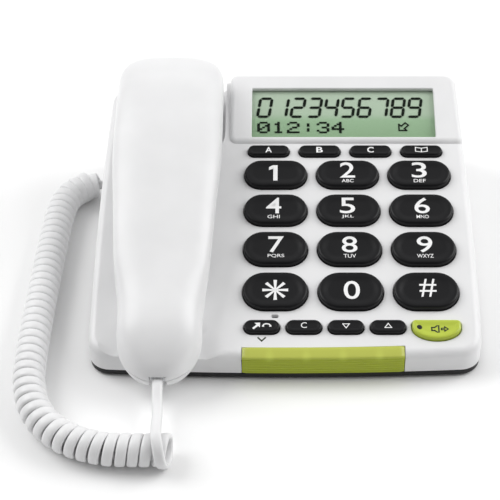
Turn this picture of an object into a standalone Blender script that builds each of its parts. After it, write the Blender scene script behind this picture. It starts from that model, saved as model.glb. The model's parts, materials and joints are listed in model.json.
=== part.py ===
"""Corded desk telephone with a big-button base, as separate pieces.

Every size below is in millimetres, and add_object turns it into metres. +X is to the user's right,
+Y away from the user and +Z up. The origin is on the table, under the middle of the telephone.

Three frames are used. The deck frame lies on the sloping keypad deck: x, then s up the slope from the
front fold, then h out of the deck. The housing frame lies in the same way on the display housing. The
rest is in the world frame.
"""

import math

import bmesh
import bpy
from mathutils import Vector

MM = 0.001
GAP = 0.3  # between pieces that touch
WALL = 2.3  # thickness of a moulded casing

# Base
HALF_WIDTH = 99.3  # at the widest, in front of the middle
SIDE_BOW = 3.0  # how much narrower each side is at the rear
SIDE_BOW_SPAN = 117.0
WIDEST_Y = -30.0
FRONT_Y = -83.0
FRONT_BOW = 3.0  # how far the front edge falls back towards its corners
REAR_Y = 99.0  # behind the display housing
CRADLE_REAR_Y = 93.0  # behind the cradle
REAR_STEP_WIDTH = 26.0
FRONT_CORNER = 11.0
REAR_CORNER = 8.0
DECK_TILT = math.radians(11.5)
FOLD_Y = -79.0
FOLD_Z = 17.0
CASING_BOTTOM_Z = 0.8
CASING_FLOOR = 2.4
SPLIT_Z = 4.0  # top of the dark bottom casing
LIP_TOP_Z = SPLIT_Z + 1.4

# Display housing
HOUSING_LEFT = -30.5
HOUSING_FRONT_Y = 52.3
HOUSING_STEP = 1.6  # height of its front edge over the deck
HOUSING_TILT = math.radians(15.3)
WINDOW_X = 32.2  # middle of the display window
WINDOW_T = 20.4  # its middle, up the housing's slope
WINDOW_SIZE = (101.0, 33.5)

# Keys, in the deck frame
KEY_TOP = 3.0
KEY_FLANGE = 1.0
FLANGE_THICK = 1.0
KEY_CLEARANCE = 0.4
COLUMN_X = -5.0
COLUMN_PITCH = 38.6
DIGIT_WIDTH = 33.6
FIRST_ROW_S = 23.9
ROW_GAP = 5.4
ROW_DEPTHS = (22.2, 20.8, 19.6, 18.0)  # from the front row, which is the deepest
MEMORY_S = 128.4
MEMORY_X = -8.9
MEMORY_PITCH = 27.7
MEMORY_SIZE = (22.5, 6.8)
FUNCTION_S = 13.3
FUNCTION_X = -11.7
FUNCTION_PITCH = 21.2
FUNCTION_SIZE = (18.2, 7.4)
SPEAKER_KEY_X = 76.3
SPEAKER_KEY_S = 11.4
SPEAKER_KEY_SIZE = (24.6, 11.6)
MAT_TOP_H = -5.9
MAT_THICK = 1.2
BOARD_TOP_H = -7.5
BOARD_THICK = 1.6
BOARD_RIGHT = 89.6
MICROPHONE_X = -5.1
MICROPHONE_S = 20.4

# Handset and cradle
HANDSET_X = -62.5
MOUTH_TIP_Y = -99.0
MOUTH_RADIUS = 21.4
MOUTH_LENGTH = 24.0  # from its tip to where it is widest
TIP_ANGLE = math.radians(13)
EAR_START_Y = 74.0
EAR_TIP_Y = 97.0
EAR_SQUARENESS = 3.6  # exponent of the ear end's superellipse, in plan
EAR_CUP_H = -7.0
MOUTH_CUP_H = -6.2
CUP_CLEARANCE = 0.8
EAR_POCKET_S = 126.0
MOUTH_POCKET_END_S = 32.5
HOOK_Y = 76.0
HOOK_LIFT = 4.0
HOOK_SIZE = (12.0, 8.0)
HOOK_CLEARANCE = 0.4

# Light strip
STRIP_LEFT = -21.5
STRIP_RIGHT = 59.8

# Cord
COIL_RADIUS = 8.25
STRAND_RADIUS = 2.1
HANDSET_PLUG_X = HANDSET_X
PLUG_SIZE = (7.6, 12.0, 4.6)
PLUG_HOLE_HALF_WIDTH = 4.3
JACK_HALF_WIDTH = 4.1
JACK_HALF_HEIGHT = 2.6
BASE_PLUG_Y = 62.0
BASE_PLUG_Z = 10.6

CORNER_STEPS = 5


# ---------------------------------------------------------------- helpers


def clear_scene():
    for old in list(bpy.data.objects):
        bpy.data.objects.remove(old, do_unlink=True)


def make_material(name, colour, roughness, metallic=0.0, alpha=1.0):
    material = bpy.data.materials.new(name)
    material.use_nodes = True
    shader = material.node_tree.nodes["Principled BSDF"]
    shader.inputs["Base Color"].default_value = (*colour, 1.0)
    shader.inputs["Roughness"].default_value = roughness
    shader.inputs["Metallic"].default_value = metallic
    shader.inputs["Alpha"].default_value = alpha
    return material


def add_empty(name, location, tilt=0.0):
    empty = bpy.data.objects.new(name, None)
    empty.location = Vector(location) * MM
    empty.rotation_euler = (tilt, 0.0, 0.0)
    bpy.context.scene.collection.objects.link(empty)
    return empty


def add_object(name, points, faces, material=None, parent=None, location=(0, 0, 0)):
    """A mesh object from points in millimetres, with its faces turned outwards."""
    mesh = bpy.data.meshes.new(name)
    mesh.from_pydata([Vector(point) * MM for point in points], [], faces)
    shape = bmesh.new()
    shape.from_mesh(mesh)
    bmesh.ops.recalc_face_normals(shape, faces=shape.faces)
    shape.to_mesh(mesh)
    shape.free()
    mesh.shade_smooth()
    mesh.set_sharp_from_angle(angle=math.radians(35))
    if material:
        mesh.materials.append(material)
    obj = bpy.data.objects.new(name, mesh)
    obj.location = Vector(location) * MM
    obj.parent = parent
    bpy.context.scene.collection.objects.link(obj)
    return obj


def loft_mesh(rings):
    """Points and faces of the closed surface through the rings, capped at both ends."""
    count = len(rings[0])
    points = [point for ring in rings for point in ring]
    faces = [tuple(reversed(range(count)))]
    for low in range(0, count * (len(rings) - 1), count):
        for i in range(count):
            j = (i + 1) % count
            faces.append((low + i, low + j, low + count + j, low + count + i))
    faces.append(tuple(range(count * (len(rings) - 1), count * len(rings))))
    return points, faces


def loft(name, rings, material=None, parent=None, location=(0, 0, 0)):
    return add_object(name, *loft_mesh(rings), material, parent, location)


def as_cutter(obj):
    obj.hide_render = True
    obj.display_type = "WIRE"
    return obj


def combine(obj, other, operation):
    modifier = obj.modifiers.new(f"{operation} {other.name}", "BOOLEAN")
    modifier.operation = operation
    modifier.object = other
    modifier.solver = "EXACT"


def cut(obj, *cutters):
    for cutter in cutters:
        combine(obj, as_cutter(cutter), "DIFFERENCE")


def unite(obj, *others):
    for other in others:
        combine(obj, as_cutter(other), "UNION")


def arc(x, y, radius, start, end, steps=CORNER_STEPS):
    """Points of a circular arc, angles in degrees."""
    found = []
    for i in range(steps + 1):
        angle = math.radians(start + (end - start) * i / steps)
        found.append((x + radius * math.cos(angle), y + radius * math.sin(angle)))
    return found


def grown(outline, distance):
    """The outline, counter-clockwise, with each point moved outwards along its normal."""
    found = []
    count = len(outline)
    for i, (x, y) in enumerate(outline):
        before = outline[i - 1]
        after = outline[(i + 1) % count]
        dx = after[0] - before[0]
        dy = after[1] - before[1]
        length = math.hypot(dx, dy)
        found.append((x + distance * dy / length, y - distance * dx / length))
    return found


def rounded_box(x_low, x_high, y_low, y_high, front_radius, rear_radius, steps=CORNER_STEPS):
    """A rectangle with round corners, counter-clockwise from its front left corner."""
    front, rear = front_radius, rear_radius
    return (
        arc(x_low + front, y_low + front, front, 180, 270, steps)
        + arc(x_high - front, y_low + front, front, 270, 360, steps)
        + arc(x_high - rear, y_high - rear, rear, 0, 90, steps)
        + arc(x_low + rear, y_high - rear, rear, 90, 180, steps)
    )


def circle(x, y, radius, sides=16):
    return arc(x, y, radius, 0, 360 * (sides - 1) / sides, sides - 1)


def at_heights(outline, levels):
    """Rings of the outline, one for each (growth, height)."""
    rings = []
    for growth, height in levels:
        ring = grown(outline, growth) if growth else outline
        rings.append([(x, y, height) for x, y in ring])
    return rings


def prism(name, outline, low, high, material=None, parent=None, location=(0, 0, 0)):
    rings = at_heights(outline, ((0, low), (0, high)))
    return loft(name, rings, material, parent, location)


def box(name, x_range, y_range, z_range, material=None, parent=None):
    (x0, x1), (y0, y1) = x_range, y_range
    outline = [(x0, y0), (x1, y0), (x1, y1), (x0, y1)]
    return prism(name, outline, z_range[0], z_range[1], material, parent)


def along(knots, at):
    """The value at a place, on a smooth curve through (place, value) knots."""
    if at <= knots[0][0]:
        return knots[0][1]
    for i in range(len(knots) - 1):
        (a, low), (b, high) = knots[i], knots[i + 1]
        if at > b:
            continue
        slope = (high - low) / (b - a)
        before = (low - knots[i - 1][1]) / (a - knots[i - 1][0]) if i else slope
        last = i + 2 >= len(knots)
        after = slope if last else (knots[i + 2][1] - high) / (knots[i + 2][0] - b)
        start = (before + slope) / 2 if before * slope > 0 else 0.0
        end = (slope + after) / 2 if slope * after > 0 else 0.0
        t = (at - a) / (b - a)
        bend = start * (t - 2 * t**2 + t**3) + end * (t**3 - t**2)
        return low + (high - low) * (3 * t**2 - 2 * t**3) + (b - a) * bend
    return knots[-1][1]


def smooth_route(knots, spacing):
    """Evenly spaced points on a Catmull-Rom curve through the knots."""
    points = [Vector(knot) for knot in knots]
    points = [2 * points[0] - points[1]] + points + [2 * points[-1] - points[-2]]
    fine = []
    for a, b, c, d in zip(points, points[1:], points[2:], points[3:]):
        for step in range(40):
            t = step / 40
            fine.append(
                0.5
                * (2 * b + (c - a) * t + (2 * a - 5 * b + 4 * c - d) * t**2 + (3 * b - a - 3 * c + d) * t**3)
            )
    fine.append(points[-2])
    length = sum((b - a).length for a, b in zip(fine, fine[1:]))
    count = max(2, round(length / spacing))
    found, gone, wanted = [fine[0]], 0.0, length / count
    for a, b in zip(fine, fine[1:]):
        gone += (b - a).length
        if gone >= wanted and len(found) < count:
            found.append(b)
            wanted += length / count
    return found + [fine[-1]]


def tube(name, route, radius, material, resolution):
    """A round cord through the route's points, with closed ends."""
    curve = bpy.data.curves.new(name, "CURVE")
    curve.dimensions = "3D"
    curve.bevel_depth = radius * MM
    curve.bevel_resolution = resolution
    curve.use_fill_caps = True
    spline = curve.splines.new("POLY")
    spline.points.add(len(route) - 1)
    for point, place in zip(spline.points, route):
        point.co = (*(place * MM), 1.0)
    curve.materials.append(material)
    obj = bpy.data.objects.new(name, curve)
    bpy.context.scene.collection.objects.link(obj)
    return obj


# ---------------------------------------------------------------- shared shapes


def deck_z(y):
    return FOLD_Z + (y - FOLD_Y) * math.tan(DECK_TILT)


def deck_s(y):
    """How far up the deck's slope a place with this y is."""
    return (y - FOLD_Y) / math.cos(DECK_TILT)


def housing_z(y):
    start = deck_z(HOUSING_FRONT_Y) + HOUSING_STEP
    return start + (y - HOUSING_FRONT_Y) * math.tan(HOUSING_TILT)


def side_x(y):
    return HALF_WIDTH - SIDE_BOW * ((y - WIDEST_Y) / SIDE_BOW_SPAN) ** 2


def front_y(x):
    return FRONT_Y + FRONT_BOW * (x / HALF_WIDTH) ** 2


def rear_y(x):
    """The rear edge steps forward in a wide S curve, behind the cradle."""
    t = min(1.0, max(0.0, (x - HOUSING_LEFT + REAR_STEP_WIDTH) / REAR_STEP_WIDTH))
    return CRADLE_REAR_Y + (REAR_Y - CRADLE_REAR_Y) * (3 * t**2 - 2 * t**3)


def base_outline():
    """The plan of the base, counter-clockwise from its front left corner."""
    front_x = side_x(FRONT_Y + FRONT_CORNER) - FRONT_CORNER
    front_c = front_y(front_x) + FRONT_CORNER
    side_start, side_end = front_c, REAR_Y - REAR_CORNER
    outline = arc(-front_x, front_c, FRONT_CORNER, 180, 262)
    outline += [(x, front_y(x)) for x in (-55.0, -28.0, 0.0, 28.0, 55.0)]
    outline += arc(front_x, front_c, FRONT_CORNER, 278, 360)
    for i in range(1, 5):
        y = side_start + (side_end - side_start) * i / 5
        outline.append((side_x(y), y))
    rear_x = side_x(side_end) - REAR_CORNER
    outline += arc(rear_x, side_end, REAR_CORNER, 0, 90)
    outline.append((HALF_WIDTH / 2, REAR_Y))
    for i in range(7):
        x = HOUSING_LEFT - REAR_STEP_WIDTH * i / 6
        outline.append((x, rear_y(x)))
    left_end = CRADLE_REAR_Y - REAR_CORNER
    rear_x = side_x(left_end) - REAR_CORNER
    outline += arc(-rear_x, left_end, REAR_CORNER, 90, 180)
    for i in range(4, 0, -1):
        y = side_start + (left_end - side_start) * i / 5
        outline.append((-side_x(y), y))
    return outline


def housing_outline():
    """The plan of the display housing, just inside the base's."""
    right_rear = REAR_Y - GAP
    corner = 7.0
    side_end = right_rear - corner
    rear_x = side_x(side_end) - GAP - corner
    outline = arc(HOUSING_LEFT + 4, HOUSING_FRONT_Y + 4, 4, 180, 270)
    outline += arc(side_x(HOUSING_FRONT_Y) - GAP - 4, HOUSING_FRONT_Y + 4, 4, 270, 360, 3)
    outline.append((side_x(75.0) - GAP, 75.0))
    outline += arc(rear_x, side_end, corner, 0, 90)
    outline += arc(HOUSING_LEFT + 4, right_rear - 4, 4, 90, 180)
    return outline


def under_surface(outline, bottom, surface, levels):
    """Rings from a flat bottom up to a sloping surface, one for each (growth, drop)."""
    rings = [[(x, y, bottom) for x, y in grown(outline, levels[0][0])]]
    for growth, drop in levels:
        ring = grown(outline, growth) if growth else outline
        rings.append([(x, y, surface(y) - drop) for x, y in ring])
    return rings


EDGE_LEVELS = ((0, 4.0), (-1.2, 1.2), (-4.0, 0.0))
HOUSING_LEVELS = ((0, 3.0), (-0.9, 0.9), (-3.0, 0.0))


def stadium(width, depth, steps):
    """A key's outline: two half circles joined by straight lines, about its own middle."""
    radius = depth / 2
    reach = width / 2 - radius
    return arc(reach, 0, radius, -90, 90, steps) + arc(-reach, 0, radius, 90, 270, steps)


def speaker_key_outline():
    """Straight at the rear, with a wide half ellipse at the front."""
    width, depth = SPEAKER_KEY_SIZE
    corner = 2.0
    shoulder = 1.8
    front = []
    for i in range(1, 16):
        angle = math.pi + math.pi * i / 16
        front.append((width / 2 * math.cos(angle), shoulder + (depth / 2 + shoulder) * math.sin(angle)))
    right = arc(width / 2 - corner, depth / 2 - corner, corner, 0, 90, 3)
    left = arc(corner - width / 2, depth / 2 - corner, corner, 90, 180, 3)
    return front + right + left


# The pockets' walls in the deck frame, as (growth of the outline, height). The mouth's follow its underside.
POCKET_TOP = 30.0
EAR_POCKET_WALL = ((0, EAR_CUP_H - CUP_CLEARANCE), (0, POCKET_TOP))
MOUTH_POCKET_WALL = (
    (-4.6, MOUTH_CUP_H - CUP_CLEARANCE),
    (-3.2, -4.2),
    (-1.4, -2.0),
    (-0.4, 0.0),
    (0.0, 1.2),
    (0.6, POCKET_TOP),
)


def pocket(name, outline, wall, growth):
    """A pocket's cutter, or with growth the solid that its wall needs around it."""
    levels = [(out + growth, height - growth) for out, height in wall]
    return loft(name, at_heights(outline, levels), None, DECK)


def ear_pocket_outline():
    half = HOUSING_LEFT - WALL - HANDSET_X
    return rounded_box(
        HANDSET_X - half, HANDSET_X + half, EAR_POCKET_S, deck_s(REAR_Y) + 40, 16, 1
    )


def mouth_pocket_outline():
    half = MOUTH_RADIUS - 0.6
    return rounded_box(HANDSET_X - half, HANDSET_X + half, -40.0, MOUTH_POCKET_END_S, 10, 10)


def scoop(name, growth, parent):
    """A shallow dish round the mouth cup, open at the front."""
    rings = []
    for radius, height in ((24.0, -2.6), (37.5, 1.0)):
        ring = circle(HANDSET_X, -8.2, radius + 2 * growth, 32)
        rings.append([(x, s, height - growth) for x, s in ring])
    if growth:
        rings.append([(x, s, 8.0) for x, s, _ in rings[-1]])
    return loft(name, rings, None, parent)


# ---------------------------------------------------------------- handset form

UNDERSIDE_TAPER = 0.13
MOUTH_CENTRE_Y = MOUTH_TIP_Y + MOUTH_LENGTH * math.cos(TIP_ANGLE)
HANDLE_WIDTH = (
    (MOUTH_CENTRE_Y, MOUTH_RADIUS),
    (-69, 21.2),
    (-41, 24.3),
    (-8, 26.6),
    (21, 28.6),
    (47, 29.0),
    (EAR_START_Y, 28.8),
)
BACK_Z = (
    (-99, 17.3),
    (-98.4, 20.6),
    (-97, 23.9),
    (-94.5, 27.2),
    (-91, 30.8),
    (-86, 34.6),
    (-80, 37.9),
    (-72, 40.6),
    (-65, 42.4),
    (-45, 48.0),
    (-15, 57.0),
    (15, 65.8),
    (45, 73.2),
    (70, 77.2),
    (84, 76.8),
    (91, 74.4),
    (95, 70.2),
    (97, 65.0),
)
PARTING_Z = (
    (-99, 15.4),
    (-89, 16.8),
    (-75, 22.0),
    (-60, 28.0),
    (-38, 40.0),
    (0, 51.0),
    (40, 59.5),
    (70, 62.0),
    (97, 61.0),
)


def cup_z(y, h):
    """The height of a plane parallel to the deck, h above it."""
    return deck_z(y) + h / math.cos(DECK_TILT)


def face_z(y):
    """The side towards the deck: mouth cup, handle and ear cup."""
    handle = cup_z(y, along(((-44, 8.6), (0, 10.0), (42, 11.0)), y))
    if y < -54:
        rise = along(((-99, 6.3), (-96.5, 3.0), (-92, 0.8), (-88, 0.0)), y)
        return cup_z(y, MOUTH_CUP_H) + rise
    if y < -42:
        t = (y + 54) / 12
        return cup_z(y, MOUTH_CUP_H) * (1 - t) + handle * t
    if y < 42:
        return handle
    if y < 53:
        t = (y - 42) / 11
        return handle * (1 - t) + cup_z(y, EAR_CUP_H) * t
    return cup_z(y, EAR_CUP_H) + along(((86, 0.0), (92, 2.0), (95, 6.0), (97, 12.0)), y)


def half_width(y, inset):
    if y < MOUTH_CENTRE_Y:
        reach = (MOUTH_CENTRE_Y - y) / (MOUTH_LENGTH - inset)
        return (MOUTH_RADIUS - inset) * math.sqrt(max(0.0, 1 - reach**2))
    if y > EAR_START_Y:
        reach = (y - EAR_START_Y) / (EAR_TIP_Y + 0.8 - inset - EAR_START_Y)
        return (HANDLE_WIDTH[-1][1] - inset) * max(0.0, 1 - reach**EAR_SQUARENESS) ** (1 / EAR_SQUARENESS)
    return along(HANDLE_WIDTH, y) - inset


def handset_ring(y, inset, sides=16):
    """One cross-section: a rounded rectangle, squarer below its parting line and narrowing downwards."""
    width = half_width(y, inset)
    parting = along(PARTING_Z, y)
    up = along(BACK_Z, y) - inset - parting
    down = parting - face_z(y) - inset
    ring = []
    for i in range(sides):
        angle = 2 * math.pi * i / sides
        c, s = math.cos(angle), math.sin(angle)
        power = 2 / 2.8 if s > 0 else 2 / 3.4
        x = width * math.copysign(abs(c) ** power, c)
        z = (up if s > 0 else down) * math.copysign(abs(s) ** power, s)
        if s < 0:
            x *= 1 - UNDERSIDE_TAPER * abs(s) ** power
        ring.append((HANDSET_X + x, y, parting + z))
    return ring


def handset_form(name, inset):
    """The whole handset, or with an inset the hollow inside it."""
    ends = 5
    mouth = []
    for i in range(ends):
        angle = TIP_ANGLE + (math.pi / 2 - TIP_ANGLE) * i / ends
        mouth.append(MOUTH_CENTRE_Y - (MOUTH_LENGTH - inset) * math.cos(angle))
    handle = [-78, -72, -64, -54, -48, -42, -30, -8, 18, 42, 47.5, 53, 62, 72, 80]
    ear = [88.0, 92.5, 95.5, EAR_TIP_Y]
    stations = mouth + handle + [y - inset for y in ear]
    return loft(name, [handset_ring(y, inset) for y in stations])


def parting_block(name, lift, up):
    """Everything above, or below, the parting line."""
    stations = [-110, -99, -89, -82, -75, -60, -48, -38, 0, 40, 70, 110]
    far = 140.0 if up else -60.0
    rings = []
    for y in stations:
        z = along(PARTING_Z, y) + lift
        low, high = sorted((z, far))
        x0, x1 = HANDSET_X - 60, HANDSET_X + 60
        rings.append([(x0, y, low), (x1, y, low), (x1, y, high), (x0, y, high)])
    return loft(name, rings)


# ---------------------------------------------------------------- materials

clear_scene()
WHITE = make_material("white_casing", (0.86, 0.86, 0.87), 0.32)
DARK = make_material("dark_casing", (0.035, 0.035, 0.037), 0.5)
BLACK = make_material("black_key", (0.018, 0.018, 0.019), 0.38)
LIME = make_material("lime_key", (0.5, 0.58, 0.035), 0.35)
LIGHT_STRIP = make_material("lime_translucent", (0.42, 0.5, 0.04), 0.2, 0.0, 0.8)
CLEAR = make_material("clear_window", (0.8, 0.85, 0.82), 0.08, 0.0, 0.35)
DISPLAY = make_material("display", (0.36, 0.52, 0.33), 0.25)
BOARD = make_material("circuit_board", (0.03, 0.17, 0.06), 0.45)
RUBBER = make_material("rubber", (0.06, 0.06, 0.06), 0.8)
MAT = make_material("keypad_mat", (0.35, 0.35, 0.36), 0.75)
STEEL = make_material("steel", (0.55, 0.55, 0.56), 0.3, 1.0)
CORD = make_material("cord", (0.83, 0.83, 0.83), 0.4)
PLUG = make_material("plug", (0.75, 0.78, 0.8), 0.15, 0.0, 0.5)

DECK = add_empty("deck_frame", (0, FOLD_Y, FOLD_Z), DECK_TILT)
HOUSING = add_empty("housing_frame", (0, HOUSING_FRONT_Y, housing_z(HOUSING_FRONT_Y)), HOUSING_TILT)


# ---------------------------------------------------------------- keys


def key_list():
    """(name, x, s, outline, material) of every key."""
    keys = []
    names = (("key_star", "key_0", "key_hash"), ("key_7", "key_8", "key_9"))
    names += (("key_4", "key_5", "key_6"), ("key_1", "key_2", "key_3"))
    front = FIRST_ROW_S
    for row, depth in zip(names, ROW_DEPTHS):
        for column, name in enumerate(row):
            outline = stadium(DIGIT_WIDTH, depth, 9)
            keys.append((name, COLUMN_X + COLUMN_PITCH * column, front + depth / 2, outline, BLACK))
        front += depth + ROW_GAP
    small = stadium(*MEMORY_SIZE, 5)
    for i, name in enumerate(("key_memory_1", "key_memory_2", "key_memory_3", "key_phonebook")):
        keys.append((name, MEMORY_X + MEMORY_PITCH * i, MEMORY_S, small, BLACK))
    small = stadium(*FUNCTION_SIZE, 5)
    for i, name in enumerate(("key_redial", "key_clear", "key_down", "key_up")):
        keys.append((name, FUNCTION_X + FUNCTION_PITCH * i, FUNCTION_S, small, BLACK))
    keys.append(("key_speaker", SPEAKER_KEY_X, SPEAKER_KEY_S, speaker_key_outline(), LIME))
    return keys


def make_key(name, x, s, outline, material):
    """A key cap with a flange that holds it under the deck."""
    top = KEY_TOP if name in {"key_star", "key_hash"} or name[4:].isdigit() else KEY_TOP - 0.8
    flange_top = -WALL - GAP
    levels = (
        (KEY_FLANGE, flange_top - FLANGE_THICK),
        (KEY_FLANGE, flange_top),
        (0.0, flange_top),
        (0.0, top - 2.2),
        (-1.0, top),
    )
    loft(name, at_heights(outline, levels), material, DECK, (x, s, 0))


def key_holes(keys):
    """One cutter for the holes of all the keys."""
    points, faces = [], []
    for _, x, s, outline, _ in keys:
        ring = [(x + a, s + b) for a, b in grown(outline, KEY_CLEARANCE)]
        more, sides = loft_mesh(at_heights(ring, ((0, -4.5), (0, 3.5))))
        faces += [tuple(i + len(points) for i in side) for side in sides]
        points += more
    return add_object("cut_key_holes", points, faces, None, DECK)


# ---------------------------------------------------------------- base

SCREW_PLACES = ((-90.0, -60.0), (93.2, -58.0), (-85.0, 74.0), (88.4, 84.0))
BOSS_RADIUS = 3.0
BOSS_HOLE_RADIUS = 1.4
SCREW_HEAD_RADIUS = 2.6
SCREW_SHANK_RADIUS = 1.1
SCREW_HEAD_HEIGHT = 0.9
SCREW_LENGTH = 11.0
FOOT_PLACES = ((-74.0, -66.0), (74.0, -66.0), (-74.0, 80.0), (74.0, 80.0))
FOOT_RADIUS = 6.5
FOOT_THICK = 1.5
LINE_JACK_X = 52.0
LINE_JACK_Z = 14.0


def strip_profile(growth):
    """The light strip's section behind the front edge, as (distance back, height), over its bevel."""
    outer, inner = -0.6 - growth, 2.4 + growth
    back = 5.2 + growth
    low = SPLIT_Z + 0.6 - growth
    return (
        (outer, low),
        (outer, FOLD_Z - 2.8),
        (3.6, FOLD_Z + 0.5 + growth),
        (back, FOLD_Z + 0.9 + growth),
        (back, FOLD_Z - 2.0 - growth),
        (4.2, FOLD_Z - 2.6 - growth),
        (inner, FOLD_Z - 5.0),
        (inner, low),
    )


def strip_solid(name, growth, material=None):
    rings = []
    for i in range(6):
        low, high = STRIP_LEFT - growth, STRIP_RIGHT + growth
        x = low + (high - low) * i / 5
        rings.append([(x, front_y(x) + back, z) for back, z in strip_profile(growth)])
    return loft(name, rings, material)


def jack(name, x_range, y_range, z_range, hole, material):
    """A modular socket: a block with a blind rectangular hole."""
    body = box(name, x_range, y_range, z_range, material)
    cut(body, box(f"cut_{name}", *hole))
    return body


def make_top_shell(keys):
    """White casing: deck, display housing and cradle in one moulding."""
    outline = base_outline()
    bottom = SPLIT_Z + GAP
    shell = loft(
        "base_top_shell", under_surface(outline, bottom, deck_z, EDGE_LEVELS), WHITE
    )
    housing = under_surface(housing_outline(), 30.0, housing_z, HOUSING_LEVELS)
    unite(shell, loft("add_housing", housing))

    inner_levels = ((-WALL, WALL + 3.6), (-WALL - 3.6, WALL))
    cavity = loft("cut_cavity", under_surface(outline, -10.0, deck_z, inner_levels))
    inner_levels = ((-WALL, WALL + 1.0), (-WALL - 1.0, WALL))
    inner_housing = under_surface(housing_outline(), 25.0, housing_z, inner_levels)
    unite(cavity, loft("add_inner_housing", inner_housing))
    cut(
        cavity,
        pocket("keep_ear_pocket", ear_pocket_outline(), EAR_POCKET_WALL, WALL),
        pocket("keep_mouth_pocket", mouth_pocket_outline(), MOUTH_POCKET_WALL, WALL),
        scoop("keep_scoop", WALL, DECK),
    )
    cut(shell, cavity)

    for i, (x, y) in enumerate(SCREW_PLACES):
        in_housing = x > HOUSING_LEFT and y > HOUSING_FRONT_Y
        ceiling = housing_z(y) if in_housing else deck_z(y)
        boss = prism(f"add_boss_{i}", circle(x, y, BOSS_RADIUS, 10), LIP_TOP_Z + GAP, ceiling - 1.0)
        unite(shell, boss)
        hole_end = CASING_BOTTOM_Z + SCREW_LENGTH + 2.0
        cut(shell, prism(f"cut_boss_{i}", circle(x, y, BOSS_HOLE_RADIUS, 8), 0.0, hole_end))

    cut(
        shell,
        pocket("cut_ear_pocket", ear_pocket_outline(), EAR_POCKET_WALL, 0),
        pocket("cut_mouth_pocket", mouth_pocket_outline(), MOUTH_POCKET_WALL, 0),
        scoop("cut_scoop", 0, DECK),
        key_holes(keys),
    )

    width, depth = WINDOW_SIZE
    x0, x1 = WINDOW_X - width / 2, WINDOW_X + width / 2
    t0, t1 = WINDOW_T - depth / 2, WINDOW_T + depth / 2
    cut(shell, box("cut_window", (x0, x1), (t0, t1), (-6, 4), None, HOUSING))
    slot_x = (MICROPHONE_X - 1.8, MICROPHONE_X + 1.8)
    slot_s = (MICROPHONE_S - 1.0, MICROPHONE_S + 1.0)
    cut(shell, box("cut_microphone_slot", slot_x, slot_s, (-6, 4), None, DECK))
    hook_s = deck_s(HOOK_Y)
    half_x = HOOK_SIZE[0] / 2 + HOOK_CLEARANCE
    half_s = HOOK_SIZE[1] / 2 + HOOK_CLEARANCE
    hook_hole = rounded_box(
        HANDSET_X - half_x, HANDSET_X + half_x, hook_s - half_s, hook_s + half_s, 3, 3, 3
    )
    cut(shell, prism("cut_hook_hole", hook_hole, -15, 2, None, DECK))
    cut(shell, strip_solid("cut_strip_slot", GAP))
    cut(
        shell,
        box(
            "cut_base_plug_hole",
            (-110, -90),
            (BASE_PLUG_Y - PLUG_HOLE_HALF_WIDTH, BASE_PLUG_Y + PLUG_HOLE_HALF_WIDTH),
            (BASE_PLUG_Z - 2.8, BASE_PLUG_Z + 2.8),
        ),
        box(
            "cut_line_hole",
            (LINE_JACK_X - 6.0, LINE_JACK_X + 6.0),
            (90, 110),
            (LINE_JACK_Z - 4.6, LINE_JACK_Z + 4.6),
        ),
    )
    return shell


def make_bottom_shell():
    """Dark tray whose lip locates inside the white casing."""
    levels = (
        (-1.0, CASING_BOTTOM_Z),
        (-0.3, CASING_BOTTOM_Z + 0.7),
        (-0.3, SPLIT_Z),
        (-WALL - 0.5, SPLIT_Z),
        (-WALL - 0.5, LIP_TOP_Z),
        (-WALL - 2.0, LIP_TOP_Z),
        (-WALL - 2.0, CASING_BOTTOM_Z + CASING_FLOOR),
    )
    tray = loft("base_bottom_shell", at_heights(base_outline(), levels), DARK)
    for i, (x, y) in enumerate(SCREW_PLACES):
        head_hole = circle(x, y, SCREW_HEAD_RADIUS + 0.4, 12)
        head = prism(f"cut_head_{i}", head_hole, -2.0, CASING_BOTTOM_Z + 0.2 + SCREW_HEAD_HEIGHT + 0.2)
        shank = prism(f"cut_shank_{i}", circle(x, y, BOSS_HOLE_RADIUS + 0.1, 8), -2.0, 12.0)
        cut(tray, head, shank)
    for i, (x, y) in enumerate(FOOT_PLACES):
        seat = circle(x, y, FOOT_RADIUS + GAP, 16)
        cut(tray, prism(f"cut_foot_seat_{i}", seat, -2.0, FOOT_THICK + GAP))
    return tray


def make_screw(name, x, y, low, length):
    """A screw with its head at the bottom, driven upwards."""
    levels = (
        (SCREW_HEAD_RADIUS, low),
        (SCREW_HEAD_RADIUS, low + SCREW_HEAD_HEIGHT),
        (SCREW_SHANK_RADIUS, low + SCREW_HEAD_HEIGHT),
        (SCREW_SHANK_RADIUS, low + length),
    )
    rings = []
    for radius, z in levels:
        rings.append([(a, b, z) for a, b in circle(0, 0, radius, 8)])
    loft(name, rings, STEEL, None, (x, y, 0))


def make_base():
    keys = key_list()
    for key in keys:
        make_key(*key)
    make_top_shell(keys)
    make_bottom_shell()
    strip_solid("light_strip", 0.0, LIGHT_STRIP)
    for i, (x, y) in enumerate(SCREW_PLACES):
        make_screw(f"base_screw_{i + 1}", x, y, CASING_BOTTOM_Z + 0.2, SCREW_LENGTH)
    for i, (x, y) in enumerate(FOOT_PLACES):
        foot = at_heights(circle(0, 0, FOOT_RADIUS, 16), ((-0.4, 0.0), (0, 0.5), (0, FOOT_THICK)))
        loft(f"foot_{i + 1}", foot, RUBBER, None, (x, y, 0))


# ---------------------------------------------------------------- inside the base


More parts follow.
